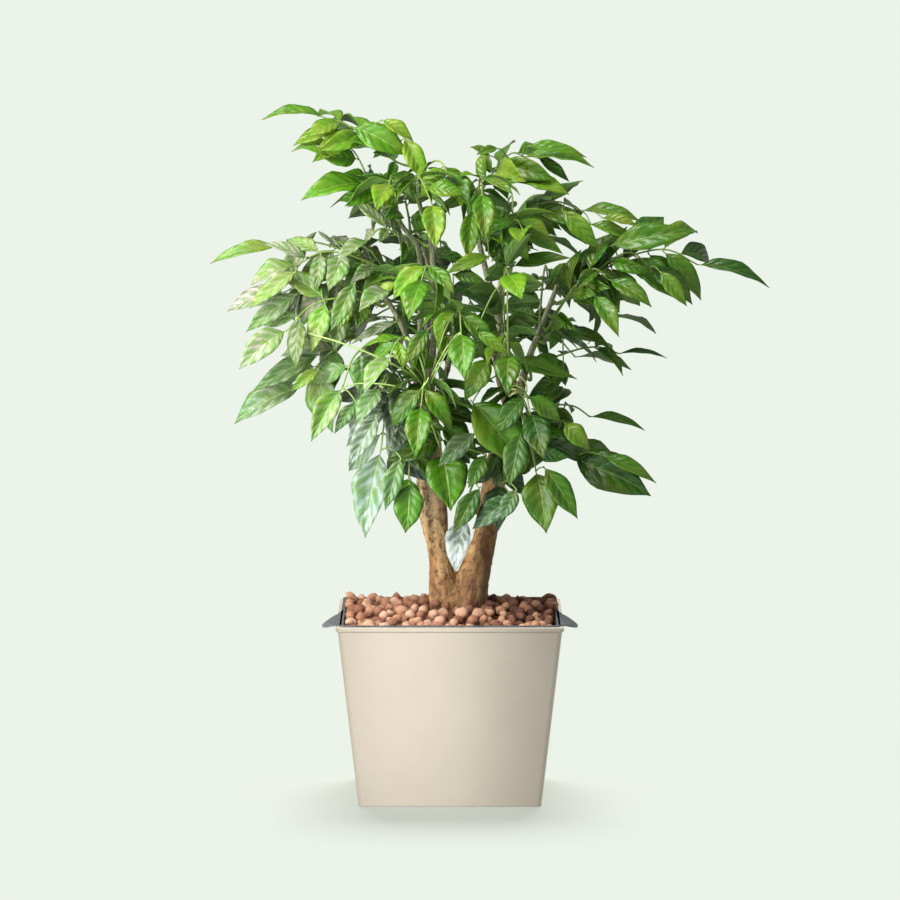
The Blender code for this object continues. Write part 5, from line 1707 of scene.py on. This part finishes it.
def dress_soil():
    finish = Finish("potting_mix", 0.95)
    place = finish.object_place()
    crumbs = finish.cells(place, 3)
    finish.set("Base Color", finish.ramp(crumbs, [
        (0.1, (0.07, 0.045, 0.03)), (0.5, (0.035, 0.022, 0.015)), (0.8, (0.012, 0.008, 0.006)),
    ]))
    finish.set("Normal", finish.relief(crumbs, 2))
    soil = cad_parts["soil"]
    soil.data.materials.clear()
    soil.data.materials.append(finish.material)


def make_floor():
    bm = bmesh.new()
    bmesh.ops.create_circle(bm, cap_ends=True, segments=FLOOR_SIDES, radius=FLOOR_RADIUS)
    floor = add_object("floor", mesh_of(bm, "floor"))
    finish = Finish("pale_floor", 0.9)
    finish.shader.inputs["Base Color"].default_value = (*FLOOR_COLOUR, 1)
    finish.shader.inputs["Specular IOR Level"].default_value = 0.0
    finish.shader.inputs["Emission Color"].default_value = (*FLOOR_GLOW, 1)
    finish.shader.inputs["Emission Strength"].default_value = FLOOR_GLOW_STRENGTH
    floor.data.materials.append(finish.material)
    floor.visible_diffuse = False
    floor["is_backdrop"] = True
    return floor


def place_light(name, light, lit, blockers=()):
    """Puts a light in the scene that falls on the given pieces alone, shaded by the blockers alone if any."""
    lamp = add_object(name, light)
    linking = lamp.light_linking
    linking.receiver_collection = bpy.data.collections.new(name + "_falls_on")
    for piece in lit:
        linking.receiver_collection.objects.link(piece)
    if blockers:
        linking.blocker_collection = bpy.data.collections.new(name + "_shaded_by")
        for piece in blockers:
            linking.blocker_collection.objects.link(piece)
    return lamp


def add_sun(name, lit, blockers=()):
    sun = SUNS[name]
    light = bpy.data.lights.new(name, "SUN")
    light.energy = sun.energy
    light.angle = math.radians(sun.spread)
    light.color = sun.colour
    lamp = place_light(name, light, lit, blockers)
    lamp.rotation_euler = (math.radians(90 - sun.rise), 0, math.radians(sun.turn))


def add_panel(name, lit, blockers=()):
    panel = PANELS[name]
    light = bpy.data.lights.new(name, "AREA")
    light.shape = "RECTANGLE"
    light.size, light.size_y = (side * MM for side in panel.size)
    light.energy = panel.power
    light.color = panel.colour
    lamp = place_light(name, light, lit, blockers)
    place, aim = Vector(panel.place) * MM, Vector(panel.aim) * MM
    lamp.location = place
    lamp.rotation_euler = (aim - place).to_track_quat("-Z", "Y").to_euler()
    lamp.visible_camera = False
    lamp.visible_glossy = panel.mirrored


def make_studio(pieces, planter):
    """The pale floor and world, and the lights on the plant and on the floor."""
    floor = make_floor()
    world = bpy.data.worlds.new("studio")
    world.use_nodes = True
    background = world.node_tree.nodes["Background"]
    background.inputs["Color"].default_value = (*WORLD_COLOUR, 1)
    background.inputs["Strength"].default_value = WORLD_STRENGTH
    bpy.context.scene.world = world
    plant = [piece for piece in pieces if piece != planter]
    trunk = [piece for piece in plant if piece.name == "woody_trunk"]
    left_side = [piece for piece in plant if piece.name.startswith((FOLIAGE + "left", FOLIAGE + "top_left"))]
    left_leaves = [piece for piece in left_side if piece.name != FOLIAGE + "left_far"]
    add_sun("key", plant)
    add_sun("top_light", [planter])
    add_sun("left_fill", [planter], [planter])
    add_sun("right_fill", [planter], [planter])
    add_sun("back_light", [floor, planter], [planter])
    add_sun("trunk_light", trunk, trunk)
    add_sun("leaf_fill", left_leaves, left_leaves)
    add_panel("softbox", plant)
    add_panel("strip", [planter], [planter])
    bpy.context.scene.view_settings.view_transform = "Standard"


def make_camera():
    camera = bpy.data.cameras.new("camera")
    camera.lens = camera.sensor_width * CAMERA_AWAY / FRAME_WIDTH
    camera.clip_end = 2 * FLOOR_RADIUS * MM
    stand = add_object("camera", camera)
    rise = math.radians(CAMERA_RISE)
    away = Vector((0, -math.cos(rise), math.sin(rise))) * CAMERA_AWAY
    stand.location = (Vector((0, 0, FRAME_CENTRE)) + away) * MM
    stand.rotation_euler = (math.radians(90 - CAMERA_RISE), 0, 0)
    bpy.context.scene.camera = stand


def make_foliage():
    placed, clearance, windows = crown()
    sprigs = defaultdict(list)
    for sprig in SPRIGS:
        made = sprig_leaflet(sprig, clearance)
        if made:
            sprigs[sprig.frond].append(made)
    add_windows(windows, OPEN_SKY)
    for frond in placed:
        fine_frond(frond, sprigs[frond.name] + inner_leaflets(frond, clearance, windows))
    long_stalks(placed, clearance)


LIMB_MIDDLES = [row for limb in (SIDE_STEM, *WHOLE_LIMBS.values()) for row in through(limb, STALK_STEPS)]
LEAF_TOP = glossy_leaf()
LEAF_UNDER = leaf_back()
STALK_GREEN = stalk_finish("green_stalk", (0.14, 0.26, 0.03), (0.36, 0.5, 0.13))

make_camera()
planter = make_planter()
make_nursery_liner()
dress_soil()
make_clay_balls()
make_trunk()
make_foliage()
plant = [obj for obj in bpy.context.scene.objects if obj.type == "MESH" and not obj.hide_render]
make_studio(plant, planter)

boxes = {"cad": CAD_BOX, "visual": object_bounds()}
{key: [list(corner) for corner in box] for key, box in boxes.items()}
